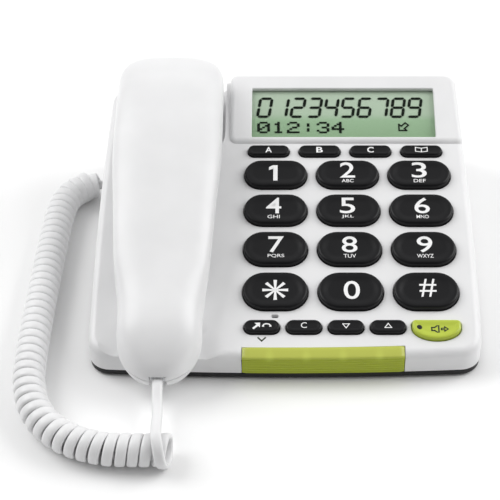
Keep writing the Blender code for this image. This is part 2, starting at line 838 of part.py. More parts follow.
def make_base_inside():
    width, depth = WINDOW_SIZE
    x0, x1 = WINDOW_X - width / 2, WINDOW_X + width / 2
    t0, t1 = WINDOW_T - depth / 2, WINDOW_T + depth / 2
    box("display_window", (x0 + GAP, x1 - GAP), (t0 + GAP, t1 - GAP), (-2.5, -0.9), CLEAR, HOUSING)
    box("lcd_module", (x0 - 2, x1 + 2), (t0 - 1.2, t1 + 2), (-7.2, -2.9), DISPLAY, HOUSING)

    mat = rounded_box(-23.0, BOARD_RIGHT, 6.0, 133.0, 4, 4, 2)
    prism("keypad_mat", mat, MAT_TOP_H - MAT_THICK, MAT_TOP_H, MAT, DECK)
    board = rounded_box(-25.0, BOARD_RIGHT, 6.0, 124.0, 4, 4, 2)
    prism("circuit_board", board, BOARD_TOP_H - BOARD_THICK, BOARD_TOP_H, BOARD, DECK)
    capsule = circle(MICROPHONE_X, MICROPHONE_S, 2.0, 12)
    prism("base_microphone", capsule, MAT_TOP_H + GAP, -WALL - GAP, STEEL, DECK)
    box("ring_light_board", (-17, 55), (-75.6, -74.0), (7.4, 13.4), BOARD)

    speaker = (
        (20.0, 7.0),
        (20.0, 10.0),
        (9.0, 15.5),
        (9.0, 21.0),
    )
    rings = []
    for radius, z in speaker:
        rings.append([(a, b, z) for a, b in circle(0, 0, radius, 20)])
    loft("base_loudspeaker", rings, DARK, None, (HANDSET_X, 22.0, 0))

    hook_s = deck_s(HOOK_Y)
    floor = EAR_CUP_H - CUP_CLEARANCE - WALL
    flange_top = floor - HOOK_LIFT - 0.4
    half_x, half_s = HOOK_SIZE[0] / 2, HOOK_SIZE[1] / 2
    stem = rounded_box(-half_x, half_x, -half_s, half_s, 2.8, 2.8, 3)
    levels = (
        (1.2, flange_top - 1.4),
        (1.2, flange_top),
        (0, flange_top),
        (0, EAR_CUP_H - GAP - 0.7),
        (-0.8, EAR_CUP_H - GAP),
    )
    loft("hook_plunger", at_heights(stem, levels), WHITE, DECK, (HANDSET_X, hook_s, 0))
    switch_top = flange_top - 1.4 - GAP
    box(
        "hook_switch",
        (HANDSET_X - 8, HANDSET_X + 8),
        (hook_s - 6, hook_s + 6),
        (switch_top - 7, switch_top),
        DARK,
        DECK,
    )

    jack(
        "handset_jack_base",
        (-side_x(BASE_PLUG_Y + 6.2) + WALL + GAP, -80.0),
        (BASE_PLUG_Y - 6.2, BASE_PLUG_Y + 6.2),
        (LIP_TOP_Z + 0.4, BASE_PLUG_Z + 4.4),
        (
            (-110, -84.0),
            (BASE_PLUG_Y - JACK_HALF_WIDTH, BASE_PLUG_Y + JACK_HALF_WIDTH),
            (BASE_PLUG_Z - JACK_HALF_HEIGHT, BASE_PLUG_Z + JACK_HALF_HEIGHT),
        ),
        DARK,
    )
    jack(
        "line_jack",
        (LINE_JACK_X - 7.6, LINE_JACK_X + 7.6),
        (80.0, REAR_Y - WALL - GAP),
        (LINE_JACK_Z - 6.4, LINE_JACK_Z + 6.4),
        (
            (LINE_JACK_X - 5.2, LINE_JACK_X + 5.2),
            (84.0, 120.0),
            (LINE_JACK_Z - 3.8, LINE_JACK_Z + 3.8),
        ),
        DARK,
    )


# ---------------------------------------------------------------- handset

HANDSET_SCREW_Y = (-66.0, 58.0)


def make_handset():
    plug_z = plug_height()
    notch = box(
        "cut_cord_notch",
        (HANDSET_PLUG_X - PLUG_HOLE_HALF_WIDTH, HANDSET_PLUG_X + PLUG_HOLE_HALF_WIDTH),
        (-120.0, -92.5),
        (-10.0, plug_z + PLUG_SIZE[2] / 2 + 0.5),
    )
    for name, lift, up in (("handset_upper_shell", GAP / 2, True), ("handset_lower_shell", -GAP / 2, False)):
        shell = handset_form(name, 0.0)
        shell.data.materials.append(WHITE)
        combine(shell, as_cutter(parting_block(f"keep_{name}", lift, up)), "INTERSECT")
        cut(shell, handset_form(f"cut_{name}", WALL), notch)
        for i, y in enumerate(HANDSET_SCREW_Y):
            if up:
                top = along(BACK_Z, y) - 1.2
                low = along(PARTING_Z, y) - 6.0
                unite(shell, prism(f"add_post_{i}", circle(HANDSET_X, y, BOSS_RADIUS, 10), low, top))
                hole = circle(HANDSET_X, y, BOSS_HOLE_RADIUS, 8)
                cut(shell, prism(f"cut_post_{i}", hole, low - 5, low + 9.0))
            else:
                low = face_z(y)
                hole = circle(HANDSET_X, y, BOSS_HOLE_RADIUS + 0.2, 8)
                cut(shell, prism(f"cut_seat_{i}", hole, low - 5, low + 8))
                recess = circle(HANDSET_X, y, SCREW_HEAD_RADIUS + 0.4, 12)
                cut(shell, prism(f"cut_recess_{i}", recess, low - 5, low + 1.3))
    for i, y in enumerate(HANDSET_SCREW_Y):
        length = along(PARTING_Z, y) - face_z(y)
        make_screw(f"handset_screw_{i + 1}", HANDSET_X, y, face_z(y) + 0.1, length)

    make_disc("earpiece_speaker", 75.0, 13.5, cup_z(76.0, EAR_CUP_H) + WALL + 3.6, 6.0, DARK)
    make_disc("handset_microphone", -77.5, 4.8, cup_z(-77.5, MOUTH_CUP_H) + WALL + 1.6, 5.0, STEEL)
    weight = []
    for y in (-8.0, 24.0):
        low = face_z(y) + WALL + 1.2
        left, right = HANDSET_X - 9, HANDSET_X + 9
        weight.append([(left, y, low), (right, y, low), (right, y, low + 6), (left, y, low + 6)])
    loft("handset_weight", weight, STEEL)

    jack(
        "handset_jack",
        (HANDSET_PLUG_X - 5.4, HANDSET_PLUG_X + 5.4),
        (-91.0, -84.0),
        (plug_z - 3.0, plug_z + 3.0),
        (
            (HANDSET_PLUG_X - JACK_HALF_WIDTH, HANDSET_PLUG_X + JACK_HALF_WIDTH),
            (-120, -85.2),
            (plug_z - JACK_HALF_HEIGHT, plug_z + JACK_HALF_HEIGHT),
        ),
        DARK,
    )


def make_disc(name, y, radius, low, height, material):
    ring = circle(0, 0, radius, 18)
    prism(name, ring, low, low + height, material, None, (HANDSET_X, y, 0))


def plug_height():
    return cup_z(-90.0, MOUTH_CUP_H) + WALL + 4.6


# ---------------------------------------------------------------- cord


def make_cord():
    plug_z = plug_height()
    width, length, height = PLUG_SIZE
    front = -97.4
    box(
        "handset_plug",
        (HANDSET_PLUG_X - width / 2, HANDSET_PLUG_X + width / 2),
        (front, front + length - 0.4),
        (plug_z - height / 2, plug_z + height / 2),
        PLUG,
    )
    outer_x = -side_x(BASE_PLUG_Y) - 1.3
    box(
        "base_plug",
        (outer_x, outer_x + length),
        (BASE_PLUG_Y - width / 2, BASE_PLUG_Y + width / 2),
        (BASE_PLUG_Z - height / 2, BASE_PLUG_Z + height / 2),
        PLUG,
    )

    # The curly part lies on the table, from the base's left side round to the front of the handset.
    floor = COIL_RADIUS + 0.15
    coil = (
        (-103.2, 62.0, floor + 0.8),
        (-112.0, 58.5, floor),
        (-120.5, 50.0, floor),
        (-123.8, 38.0, floor),
        (-125.2, 20.0, floor),
        (-127.0, -28.0, floor),
        (-127.8, -70.0, floor),
        (-126.4, -96.0, floor),
        (-119.5, -115.5, floor),
        (-106.0, -129.0, floor),
        (-88.0, -136.0, floor),
        (-70.0, -137.2, floor),
        (-53.0, -137.0, floor),
    )
    tube("cord_coil", smooth_route(coil, 14.0), COIL_RADIUS, CORD, 4)

    # Its straight ends run to the two plugs.
    over = floor + COIL_RADIUS + GAP + STRAND_RADIUS + 0.1
    strand = (
        (HANDSET_PLUG_X, front - GAP, plug_z),
        (HANDSET_PLUG_X, front - 5.0, plug_z - 0.3),
        (HANDSET_PLUG_X, front - 13.0, plug_z - 2.2),
        (HANDSET_PLUG_X + 1.0, front - 22.0, plug_z - 1.6),
        (HANDSET_PLUG_X + 1.8, front - 31.0, over - 2.2),
        (HANDSET_PLUG_X + 2.3, -136.5, over),
    )
    tube("cord_strand", smooth_route(strand, 6.0), STRAND_RADIUS, CORD, 2)
    tail = (
        (outer_x - GAP, BASE_PLUG_Y, BASE_PLUG_Z),
        (outer_x - 2.0, BASE_PLUG_Y, BASE_PLUG_Z),
        (-101.9, BASE_PLUG_Y, BASE_PLUG_Z - 0.4),
    )
    tube("cord_tail", smooth_route(tail, 2.0), STRAND_RADIUS, CORD, 2)


make_base()
make_base_inside()
make_handset()
make_cord()
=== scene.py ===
"""Studio view of a corded desk telephone with large keys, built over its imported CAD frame.

Shapes are in millimetres, in the CAD frame, and add_mesh turns them into metres. +X is to the user's
right, +Y away from the user and +Z up. The deck frame lies on the sloping keypad deck: x, then s up the
slope from the front fold, then h out of it. The housing frame lies in the same way on the display
housing. The camera and the lights are in metres.
"""

import json
import math

import bmesh
import bpy
import numpy as np
from mathutils import Matrix, Vector


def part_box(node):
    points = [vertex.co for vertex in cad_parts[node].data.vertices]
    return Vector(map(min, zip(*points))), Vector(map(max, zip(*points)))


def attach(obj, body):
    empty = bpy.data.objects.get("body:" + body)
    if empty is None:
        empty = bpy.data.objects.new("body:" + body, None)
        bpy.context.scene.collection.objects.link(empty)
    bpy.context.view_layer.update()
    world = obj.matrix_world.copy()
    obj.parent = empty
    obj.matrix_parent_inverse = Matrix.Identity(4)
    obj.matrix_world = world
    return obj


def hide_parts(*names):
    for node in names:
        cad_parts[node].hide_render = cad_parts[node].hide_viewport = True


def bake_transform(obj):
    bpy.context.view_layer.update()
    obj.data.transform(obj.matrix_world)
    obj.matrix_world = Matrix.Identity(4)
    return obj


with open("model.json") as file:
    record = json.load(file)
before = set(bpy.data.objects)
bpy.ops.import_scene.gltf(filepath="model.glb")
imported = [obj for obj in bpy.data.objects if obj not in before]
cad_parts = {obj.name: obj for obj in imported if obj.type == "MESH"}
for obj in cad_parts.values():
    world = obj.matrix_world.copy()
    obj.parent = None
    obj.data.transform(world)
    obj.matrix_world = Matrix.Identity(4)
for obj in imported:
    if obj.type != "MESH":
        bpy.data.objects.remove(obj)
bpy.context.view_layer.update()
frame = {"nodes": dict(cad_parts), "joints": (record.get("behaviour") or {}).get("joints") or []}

MM = 0.001
GAP = 0.3  # between pieces that touch
WALL = 2.3  # thickness of a moulded casing


# ---------------------------------------------------------------- places, read from the frame


def node_box(name):
    """A CAD node's lowest and highest corners."""
    low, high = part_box(name)
    return Vector(low) / MM, Vector(high) / MM


def node_round(name):
    """The middle x and y of a CAD node, its radius in plan and the height of its top."""
    low, high = node_box(name)
    return (low.x + high.x) / 2, (low.y + high.y) / 2, (high.x - low.x) / 2, high.z


def deck_tilt():
    """The keys travel square to the deck."""
    for joint in frame["joints"]:
        if joint["name"] == "key_5_press":
            return math.atan2(-joint["axis"][1], joint["axis"][2])
    raise KeyError("key_5_press")


DECK_TILT = deck_tilt()
FOLD_Y = -79.0
FOLD_Z = 17.0
DECK = Matrix.Translation((0, FOLD_Y, FOLD_Z)) @ Matrix.Rotation(DECK_TILT, 4, "X")
FROM_DECK = DECK.inverted()

# Base: the same laws as the CAD, with finer corners and edges
HALF_WIDTH = 99.3
SIDE_BOW = 3.0
SIDE_BOW_SPAN = 117.0
WIDEST_Y = -30.0
FRONT_Y = -83.0
FRONT_BOW = 3.0
REAR_Y = 99.0
CRADLE_REAR_Y = 93.0
REAR_STEP_WIDTH = 26.0
FRONT_CORNER = 11.0
REAR_CORNER = 8.0
SPLIT_Z = 4.0
LIP_TOP_Z = 5.4
CASING_BOTTOM_Z = 0.8
CASING_FLOOR = 2.4
DECK_EDGE_RADIUS = 4.0
HOUSING_EDGE_RADIUS = 3.0

HOUSING_LEFT = -30.5
HOUSING_FRONT_Y = 52.3
HOUSING_STEP = 1.6
HOUSING_TILT = math.radians(15.3)
HOUSING_FRONT_Z = FOLD_Z + (HOUSING_FRONT_Y - FOLD_Y) * math.tan(DECK_TILT) + HOUSING_STEP
HOUSING = Matrix.Translation((0, HOUSING_FRONT_Y, HOUSING_FRONT_Z)) @ Matrix.Rotation(HOUSING_TILT, 4, "X")
WINDOW_X = 32.2
WINDOW_T = 20.4
WINDOW_SIZE = (101.0, 33.5)

KEY_CLEARANCE = 0.4
KEY_FLANGE = 1.0
HANDSET_X = node_round("handset_upper_shell")[0]
EAR_CUP_H = -7.0
MOUTH_CUP_H = -6.2
CUP_CLEARANCE = 0.8
EAR_POCKET_S = 126.0
MOUTH_POCKET_END_S = 32.5
POCKET_TOP = 30.0
MOUTH_TIP_Y = -99.0
MOUTH_RADIUS = 21.4
MOUTH_LENGTH = 24.0
TIP_ANGLE = math.radians(13)
EAR_START_Y = 74.0
EAR_TIP_Y = 97.0
EAR_SQUARENESS = 3.6  # exponent of the ear end's superellipse, in plan
HOOK_Y = 76.0
HOOK_HOLE_HALF = (6.4, 4.4)
MICROPHONE_SLOT = (-6.9, -3.3, 19.4, 21.4)  # its left, right, front and rear, on the deck
PLUG_HOLE_HALF = (4.3, 2.8)
LINE_HOLE_HALF = (6.0, 4.6)

POST_RADIUS = 3.0
SCREW_HOLE_RADIUS = 1.4
SHANK_HOLE_RADIUS = 1.5

STRIP_LEFT = -21.5
STRIP_RIGHT = 59.8
STRIP_FOLD_Z = FOLD_Z - 1.3
STRIP_LAMP_X = STRIP_LEFT + 13.8  # the first of its four lamps
STRIP_LAMP_PITCH = 18.3
STRIP_TOP_COLOUR = (0.5, 0.54, 0.1)
# Painted shade: the front's colour is darker than the top's because the front is less lit.
STRIP_FRONT_PAINTED_SHADE = (0.4, 0.47, 0.04)


# ---------------------------------------------------------------- camera, floor and light


def new_object(name, data):
    """An object in the scene that shows the data."""
    obj = bpy.data.objects.new(name, data)
    bpy.context.scene.collection.objects.link(obj)
    return obj


def add_camera():
    """Looks down from the front. The small shift puts the telephone right of the middle, as framed."""
    data = bpy.data.cameras.new("camera")
    data.sensor_width = 36.0
    data.lens = 118.1
    data.shift_x = -0.07
    data.clip_start = 0.01
    data.clip_end = 50.0
    camera = new_object("camera", data)
    camera.location = (0.0, -0.6534, 0.6013)
    camera.rotation_euler = (math.radians(48.0), 0.0, 0.0)
    bpy.context.scene.camera = camera


def add_floor():
    side = 6.0
    corners = [(-side, -side, 0), (side, -side, 0), (side, side, 0), (-side, side, 0)]
    mesh = bpy.data.meshes.new("floor")
    mesh.from_pydata(corners, [], [(0, 1, 2, 3)])
    floor = new_object("floor", mesh)
    floor.location.z = -0.0002
    colour = (0.94, 0.94, 0.94)
    material = new_material("floor_paint", colour, 0.8)
    add_variation(material, colour, 4.0, 0.01)
    mesh.materials.append(material)


def add_area_light(name, place, target, size, power):
    data = bpy.data.lights.new(name, "AREA")
    data.shape = "RECTANGLE"
    data.size, data.size_y = size
    data.energy = power
    light = new_object(name, data)
    light.location = place
    light.rotation_euler = (Vector(target) - Vector(place)).to_track_quat("-Z", "Y").to_euler()


def add_world():
    """A pale studio, dimmer on the user's side than behind the telephone."""
    world = bpy.data.worlds.new("studio")
    bpy.context.scene.world = world
    world.use_nodes = True
    tree = world.node_tree
    background = tree.nodes["Background"]
    background.inputs["Color"].default_value = (1.0, 1.0, 1.0, 1.0)
    away_from_user = coordinates(tree, "Generated")["Y"]
    tree.links.new(ranged(tree, away_from_user, -0.8, 0.3, 0.22, 0.72), background.inputs["Strength"])


def add_lights():
    middle = (0.0, 0.0, 0.03)
    size = (1.3, 1.3)
    add_area_light("left_light", (-1.3, 0.4, 1.3), middle, size, 18.5)
    add_area_light("right_light", (1.4, 0.3, 1.1), middle, size, 19.0)
    bpy.context.scene.view_settings.view_transform = "Standard"


# ---------------------------------------------------------------- materials


def add_node(tree, kind, sources=None, values=None, **settings):
    """A shader node with some inputs linked to sources and some set to values. Gives its outputs."""
    node = tree.nodes.new(kind)
    for name, setting in settings.items():
        setattr(node, name, setting)
    for name, value in (values or {}).items():
        node.inputs[name].default_value = value
    for name, source in (sources or {}).items():
        tree.links.new(source, node.inputs[name])
    return node.outputs


def coordinates(tree, system="Object"):
    """The X, Y and Z of the shaded place."""
    place = add_node(tree, "ShaderNodeTexCoord")[system]
    return add_node(tree, "ShaderNodeSeparateXYZ", {"Vector": place})


def ranged(tree, value, start, end, low=0.0, high=1.0, interpolation="LINEAR"):
    """The value, brought from between start and end to between low and high."""
    ends = {"From Min": start, "From Max": end, "To Min": low, "To Max": high}
    node = add_node(tree, "ShaderNodeMapRange", {"Value": value}, ends, interpolation_type=interpolation)
    return node["Result"]


def calculated(tree, operation, value, number):
    return add_node(tree, "ShaderNodeMath", {0: value}, {1: number}, operation=operation)["Value"]


def noise(tree, scale, detail=3.0):
    """Noise in object coordinates; scale is in waves per metre."""
    place = add_node(tree, "ShaderNodeTexCoord")["Object"]
    return add_node(tree, "ShaderNodeTexNoise", {"Vector": place}, {"Scale": scale, "Detail": detail})["Fac"]


def ramp(tree, value, stops):
    """Colour by value, from (position, colour) stops."""
    node = tree.nodes.new("ShaderNodeValToRGB")
    elements = node.color_ramp.elements
    for i, (position, colour) in enumerate((stops[0], stops[-1])):
        elements[i].position = position
        elements[i].color = (*colour, 1.0)
    for position, colour in stops[1:-1]:
        elements.new(position).color = (*colour, 1.0)
    tree.links.new(value, node.inputs["Fac"])
    return node.outputs["Color"]


def shader_input(material, name):
    return material.node_tree.nodes["Principled BSDF"].inputs[name]


def new_material(name, colour, roughness):
    material = bpy.data.materials.new(name)
    material.use_nodes = True
    shader_input(material, "Base Color").default_value = (*colour, 1.0)
    shader_input(material, "Roughness").default_value = roughness
    return material


def add_variation(material, colour, scale, amount):
    """Slow colour variation round the base colour."""
    tree = material.node_tree
    darker = [max(0.0, c * (1 - amount)) for c in colour]
    lighter = [min(1.0, c * (1 + amount)) for c in colour]
    varied = ramp(tree, noise(tree, scale), ((0.35, darker), (0.65, lighter)))
    tree.links.new(varied, shader_input(material, "Base Color"))


def add_grain(material, scale, depth, strength=0.3):
    """Fine moulded grain as bump."""
    tree = material.node_tree
    sizes = {"Strength": strength, "Distance": depth}
    bump = add_node(tree, "ShaderNodeBump", {"Height": noise(tree, scale, 2.0)}, sizes)
    tree.links.new(bump["Normal"], shader_input(material, "Normal"))


def add_roughness(material, low, high, scale):
    """Roughness that wanders a little over the surface."""
    tree = material.node_tree
    wandering = ranged(tree, noise(tree, scale), 0.3, 0.7, low, high)
    tree.links.new(wandering, shader_input(material, "Roughness"))


def moulded(name, colour, roughness, grain=(9000.0, 0.00002), spread=0.05, variation=0.02, specular=0.5):
    """Moulded plastic: slow colour variation, wandering roughness and a fine grain of (scale, depth)."""
    material = new_material(name, colour, roughness)
    add_variation(material, colour, 35.0, variation)
    add_roughness(material, roughness - spread, roughness + spread, 60.0)
    add_grain(material, *grain)
    shader_input(material, "Specular IOR Level").default_value = specular
    return material


def screen_material():
    """Liquid crystal with painted reflection and shade: grey-green and lighter at its top, then greener and
    darker towards the user.
    """
    material = new_material("lcd_green", (0.3, 0.4, 0.28), 0.3)
    tree = material.node_tree
    low_t = WINDOW_T - WINDOW_SIZE[1] / 2
    low_y = (HOUSING @ Vector((0, low_t, 0))).y * MM
    high_y = (HOUSING @ Vector((0, low_t + WINDOW_SIZE[1], 0))).y * MM
    # Painted reflection lightens and greys the upper half, and painted shade darkens the panel towards the
    # user.
    stops = (
        (0.0, (0.25, 0.4, 0.23)),
        (0.42, (0.33, 0.5, 0.31)),
        (0.55, (0.45, 0.58, 0.43)),
        (1.0, (0.5, 0.62, 0.48)),
    )
    colour = ramp(tree, ranged(tree, coordinates(tree)["Y"], low_y, high_y), stops)
    tree.links.new(colour, shader_input(material, "Base Color"))
    add_grain(material, 6000.0, 0.000003, 0.05)
    return material


def strip_material():
    """Lime translucent plastic, with painted shade that darkens it below its fold, and a glow in front of
    each of its four lamps.
    """
    material = moulded("lime_translucent", STRIP_TOP_COLOUR, 0.22, (4000.0, 0.000003), 0.03, 0.05, 0.3)
    tree = material.node_tree
    place = coordinates(tree)
    # Painted shade: below the fold the strip takes the darker front colour, above it the top colour.
    unshaded_top = ranged(tree, place["Z"], (STRIP_FOLD_Z - 1.2) * MM, (STRIP_FOLD_Z + 0.2) * MM)
    colour = tree.nodes.new("ShaderNodeMix")
    colour.data_type = "RGBA"
    colour.inputs[6].default_value = (*STRIP_FRONT_PAINTED_SHADE, 1.0)
    colour.inputs[7].default_value = (*STRIP_TOP_COLOUR, 1.0)
    tree.links.new(unshaded_top, colour.inputs["Factor"])
    tree.links.new(colour.outputs[2], shader_input(material, "Base Color"))

    from_first = calculated(tree, "SUBTRACT", place["X"], STRIP_LAMP_X * MM)
    aside = calculated(tree, "PINGPONG", from_first, STRIP_LAMP_PITCH * MM / 2)
    upwards = calculated(tree, "SUBTRACT", place["Z"], (STRIP_FOLD_Z - 0.6) * MM)
    away = add_node(tree, "ShaderNodeCombineXYZ", {"X": aside, "Z": upwards})["Vector"]
    distance = add_node(tree, "ShaderNodeVectorMath", {0: away}, operation="LENGTH")["Value"]
    glow = ranged(tree, distance, 0.0, 3.5 * MM, 0.09, 0.0, "SMOOTHSTEP")
    shader_input(material, "Emission Color").default_value = (0.75, 0.9, 0.2, 1.0)
    tree.links.new(glow, shader_input(material, "Emission Strength"))
    return material


def clear_plastic(name, colour, alpha):
    material = moulded(name, colour, 0.09, (3000.0, 0.000004), 0.03)
    shader_input(material, "Alpha").default_value = alpha
    return material


def metal(name, colour, roughness):
    """Plated metal with fine scratches."""
    material = moulded(name, colour, roughness, (12000.0, 0.00001), 0.08, 0.05)
    shader_input(material, "Metallic").default_value = 1.0
    return material


# ---------------------------------------------------------------- mesh helpers


def shade(mesh, smooth_angle):
    """Smooth over edges that turn by less than the angle, in degrees."""
    mesh.shade_smooth()
    mesh.set_sharp_from_angle(angle=math.radians(smooth_angle))


def face_outwards(mesh):
    shape = bmesh.new()
    shape.from_mesh(mesh)
    bmesh.ops.recalc_face_normals(shape, faces=shape.faces)
    shape.to_mesh(mesh)
    shape.free()


def add_mesh(name, points, faces, material=None, body=None, smooth_angle=32.0, place=None):
    """A mesh object from points in millimetres, in the world or in a frame of their own."""
    place = place or Matrix.Identity(4)
    mesh = bpy.data.meshes.new(name)
    mesh.from_pydata([tuple(place @ Vector(point) * MM) for point in points], [], faces)
    face_outwards(mesh)
    shade(mesh, smooth_angle)
    if material:
        mesh.materials.append(material)
    obj = new_object(name, mesh)
    if body:
        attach(obj, body)
    return obj


def ring_faces(ring_count, size):
    """Quads between neighbouring rings of the same number of points."""
    faces = []
    for low in range(0, size * (ring_count - 1), size):
        for i in range(size):
            j = (i + 1) % size
            faces.append((low + i, low + j, low + size + j, low + size + i))
    return faces


def loft_mesh(rings):
    """Points and faces of the closed surface through the rings, capped at both ends."""
    size = len(rings[0])
    points = [point for ring in rings for point in ring]
    faces = [tuple(reversed(range(size)))] + ring_faces(len(rings), size)
    faces.append(tuple(range(len(points) - size, len(points))))
    return points, faces


def loft(name, rings, material=None, body=None, place=None, smooth_angle=32.0):
    return add_mesh(name, *loft_mesh(rings), material, body, smooth_angle, place)


def merged(shapes):
    """One list of points and one of faces from several."""
    points, faces = [], []
    for more, sides in shapes:
        faces += [tuple(i + len(points) for i in side) for side in sides]
        points += list(more)
    return points, faces


def evaluated_mesh(obj):
    """A mesh of the object's shape, with its modifiers applied."""
    return bpy.data.meshes.new_from_object(obj.evaluated_get(bpy.context.evaluated_depsgraph_get()))


def cut(name, rings, place=None):
    """A step for shaped: takes away the solid through the rings."""
    return "DIFFERENCE", loft(name, rings, place=place)


def shaped(obj, steps, smooth_angle=30.0):
    """Joins each (operation, other) to obj in turn, as a plain mesh, and removes the others."""
    for operation, other in steps:
        modifier = obj.modifiers.new(other.name, "BOOLEAN")
        modifier.operation = operation
        modifier.object = other
        modifier.solver = "EXACT"
    mesh = evaluated_mesh(obj)
    obj.modifiers.clear()
    obj.data = mesh
    for _, other in steps:
        bpy.data.objects.remove(other, do_unlink=True)
    shade(mesh, smooth_angle)
    return obj


def even_normals(obj):
    """Large faces keep their own shading next to their rounded edges."""
    modifier = obj.modifiers.new("even_normals", "WEIGHTED_NORMAL")
    modifier.keep_sharp = True


def arc(x, y, radius, start, end, steps=10):
    """Points of a circular arc, angles in degrees."""
    found = []
    for i in range(steps + 1):
        angle = math.radians(start + (end - start) * i / steps)
        found.append((x + radius * math.cos(angle), y + radius * math.sin(angle)))
    return found


def circle(x, y, radius, sides=48):
    return arc(x, y, radius, 0, 360 * (sides - 1) / sides, sides - 1)


def grown(outline, distance):
    """The outline, counter-clockwise, with each point moved outwards along its normal."""
    found = []
    count = len(outline)
    for i, (x, y) in enumerate(outline):
        before = outline[i - 1]
        after = outline[(i + 1) % count]
        dx = after[0] - before[0]
        dy = after[1] - before[1]
        length = math.hypot(dx, dy)
        found.append((x + distance * dy / length, y - distance * dx / length))
    return found


def rounded_box(x_low, x_high, y_low, y_high, radius, rear_radius=None, steps=8):
    """A rectangle with round corners, counter-clockwise from its front left corner."""
    rear = radius if rear_radius is None else rear_radius
    return (
        arc(x_low + radius, y_low + radius, radius, 180, 270, steps)
        + arc(x_high - radius, y_low + radius, radius, 270, 360, steps)
        + arc(x_high - rear, y_high - rear, rear, 0, 90, steps)
        + arc(x_low + rear, y_high - rear, rear, 90, 180, steps)
    )


def at_heights(outline, levels):
    """Rings of the outline, one for each (growth, height)."""
    rings = []
    for growth, height in levels:
        rings.append([(x, y, height) for x, y in grown(outline, growth)])
    return rings


def rod(x, y, radius, low, high, sides=48):
    """Rings of an upright cylinder."""
    return at_heights(circle(x, y, radius, sides), ((0, low), (0, high)))


def flared(outline, low, rim):
    """A cutter's rings: straight walls, then a small chamfer of that width where they meet the surface."""
    return at_heights(outline, ((0, low), (0, -rim), (0.6 + rim, 0.6)))


def spread_line(a, b, count):
    """Points strictly between a and b."""
    return [a + (b - a) * i / (count + 1) for i in range(1, count + 1)]


def along(knots, at):
    """The value at a place, on a smooth curve through (place, value) knots."""
    if at <= knots[0][0]:
        return knots[0][1]
    for i in range(len(knots) - 1):
        (a, low), (b, high) = knots[i], knots[i + 1]
        if at > b:
            continue
        slope = (high - low) / (b - a)
        before = (low - knots[i - 1][1]) / (a - knots[i - 1][0]) if i else slope
        last = i + 2 >= len(knots)
        after = slope if last else (knots[i + 2][1] - high) / (knots[i + 2][0] - b)
        start = (before + slope) / 2 if before * slope > 0 else 0.0
        end = (slope + after) / 2 if slope * after > 0 else 0.0
        t = (at - a) / (b - a)
        bend = start * (t - 2 * t**2 + t**3) + end * (t**3 - t**2)
        return low + (high - low) * (3 * t**2 - 2 * t**3) + (b - a) * bend
    return knots[-1][1]


# ---------------------------------------------------------------- base casing


def deck_z(y):
    return FOLD_Z + (y - FOLD_Y) * math.tan(DECK_TILT)


def deck_s(y):
    """How far up the deck's slope a place with this y is."""
    return (y - FOLD_Y) / math.cos(DECK_TILT)


def housing_z(y):
    return HOUSING_FRONT_Z + (y - HOUSING_FRONT_Y) * math.tan(HOUSING_TILT)


def side_x(y):
    """The base's sides bow out gently."""
    return HALF_WIDTH - SIDE_BOW * ((y - WIDEST_Y) / SIDE_BOW_SPAN) ** 2


def front_y(x):
    return FRONT_Y + FRONT_BOW * (x / HALF_WIDTH) ** 2


def rear_y(x):
    """The rear edge steps forward in a wide S curve, behind the cradle."""
    t = min(1.0, max(0.0, (x - HOUSING_LEFT + REAR_STEP_WIDTH) / REAR_STEP_WIDTH))
    return CRADLE_REAR_Y + (REAR_Y - CRADLE_REAR_Y) * (3 * t**2 - 2 * t**3)


def base_outline():
    """The plan of the base, counter-clockwise from its front left corner."""
    front_x = side_x(FRONT_Y + FRONT_CORNER) - FRONT_CORNER
    front_c = front_y(front_x) + FRONT_CORNER
    outline = arc(-front_x, front_c, FRONT_CORNER, 180, 268)
    outline += [(x, front_y(x)) for x in spread_line(-front_x, front_x, 26)]
    outline += arc(front_x, front_c, FRONT_CORNER, 272, 360)
    right_end = REAR_Y - REAR_CORNER
    outline += [(side_x(y), y) for y in spread_line(front_c, right_end, 16)]
    outline += arc(side_x(right_end) - REAR_CORNER, right_end, REAR_CORNER, 0, 90)
    outline.append((HALF_WIDTH / 2, REAR_Y))
    outline.append((0.0, REAR_Y))
    steps = 18
    for i in range(steps + 1):
        x = HOUSING_LEFT - REAR_STEP_WIDTH * i / steps
        outline.append((x, rear_y(x)))
    left_end = CRADLE_REAR_Y - REAR_CORNER
    outline += arc(REAR_CORNER - side_x(left_end), left_end, REAR_CORNER, 90, 180)
    outline += [(-side_x(y), y) for y in spread_line(left_end, front_c, 16)]
    return outline


def housing_outline():
    """The plan of the display housing, just inside the base's."""
    rear = REAR_Y - GAP
    corner = 4
    outer_corner = 7.0
    side_end = rear - outer_corner
    front_end = HOUSING_FRONT_Y + corner
    outline = arc(HOUSING_LEFT + corner, front_end, corner, 180, 270)
    outline += arc(side_x(HOUSING_FRONT_Y) - GAP - corner, front_end, corner, 270, 360)
    outline += [(side_x(y) - GAP, y) for y in spread_line(front_end, side_end, 5)]
    outline += arc(side_x(side_end) - GAP - outer_corner, side_end, outer_corner, 0, 90)
    outline += arc(HOUSING_LEFT + corner, rear - corner, corner, 90, 180)
    return outline


def under_surface(outline, bottom, surface, levels):
    """Rings from a flat bottom up to a sloping surface, one for each (growth, drop)."""
    rings = [[(x, y, bottom) for x, y in grown(outline, levels[0][0])]]
    for growth, drop in levels:
        rings.append([(x, y, surface(y) - drop) for x, y in grown(outline, growth)])
    return rings


def round_over(radius, steps=7):
    """(growth, drop) levels of a quarter round."""
    levels = []
    for i in range(steps + 1):
        angle = math.pi / 2 * i / steps
        levels.append((-radius * (1 - math.cos(angle)), radius * (1 - math.sin(angle))))
    return levels


def base_solid():
    """The base without its hollows, its lower edge slightly eased."""
    outline = base_outline()
    bottom = SPLIT_Z + GAP
    eased = 0.3
    rings = under_surface(outline, bottom, deck_z, round_over(DECK_EDGE_RADIUS))
    rings[0] = [(x, y, bottom) for x, y in grown(outline, -eased)]
    rings.insert(1, [(x, y, bottom + eased) for x, y in outline])
    return loft("base_casing", rings, WHITE, "base")


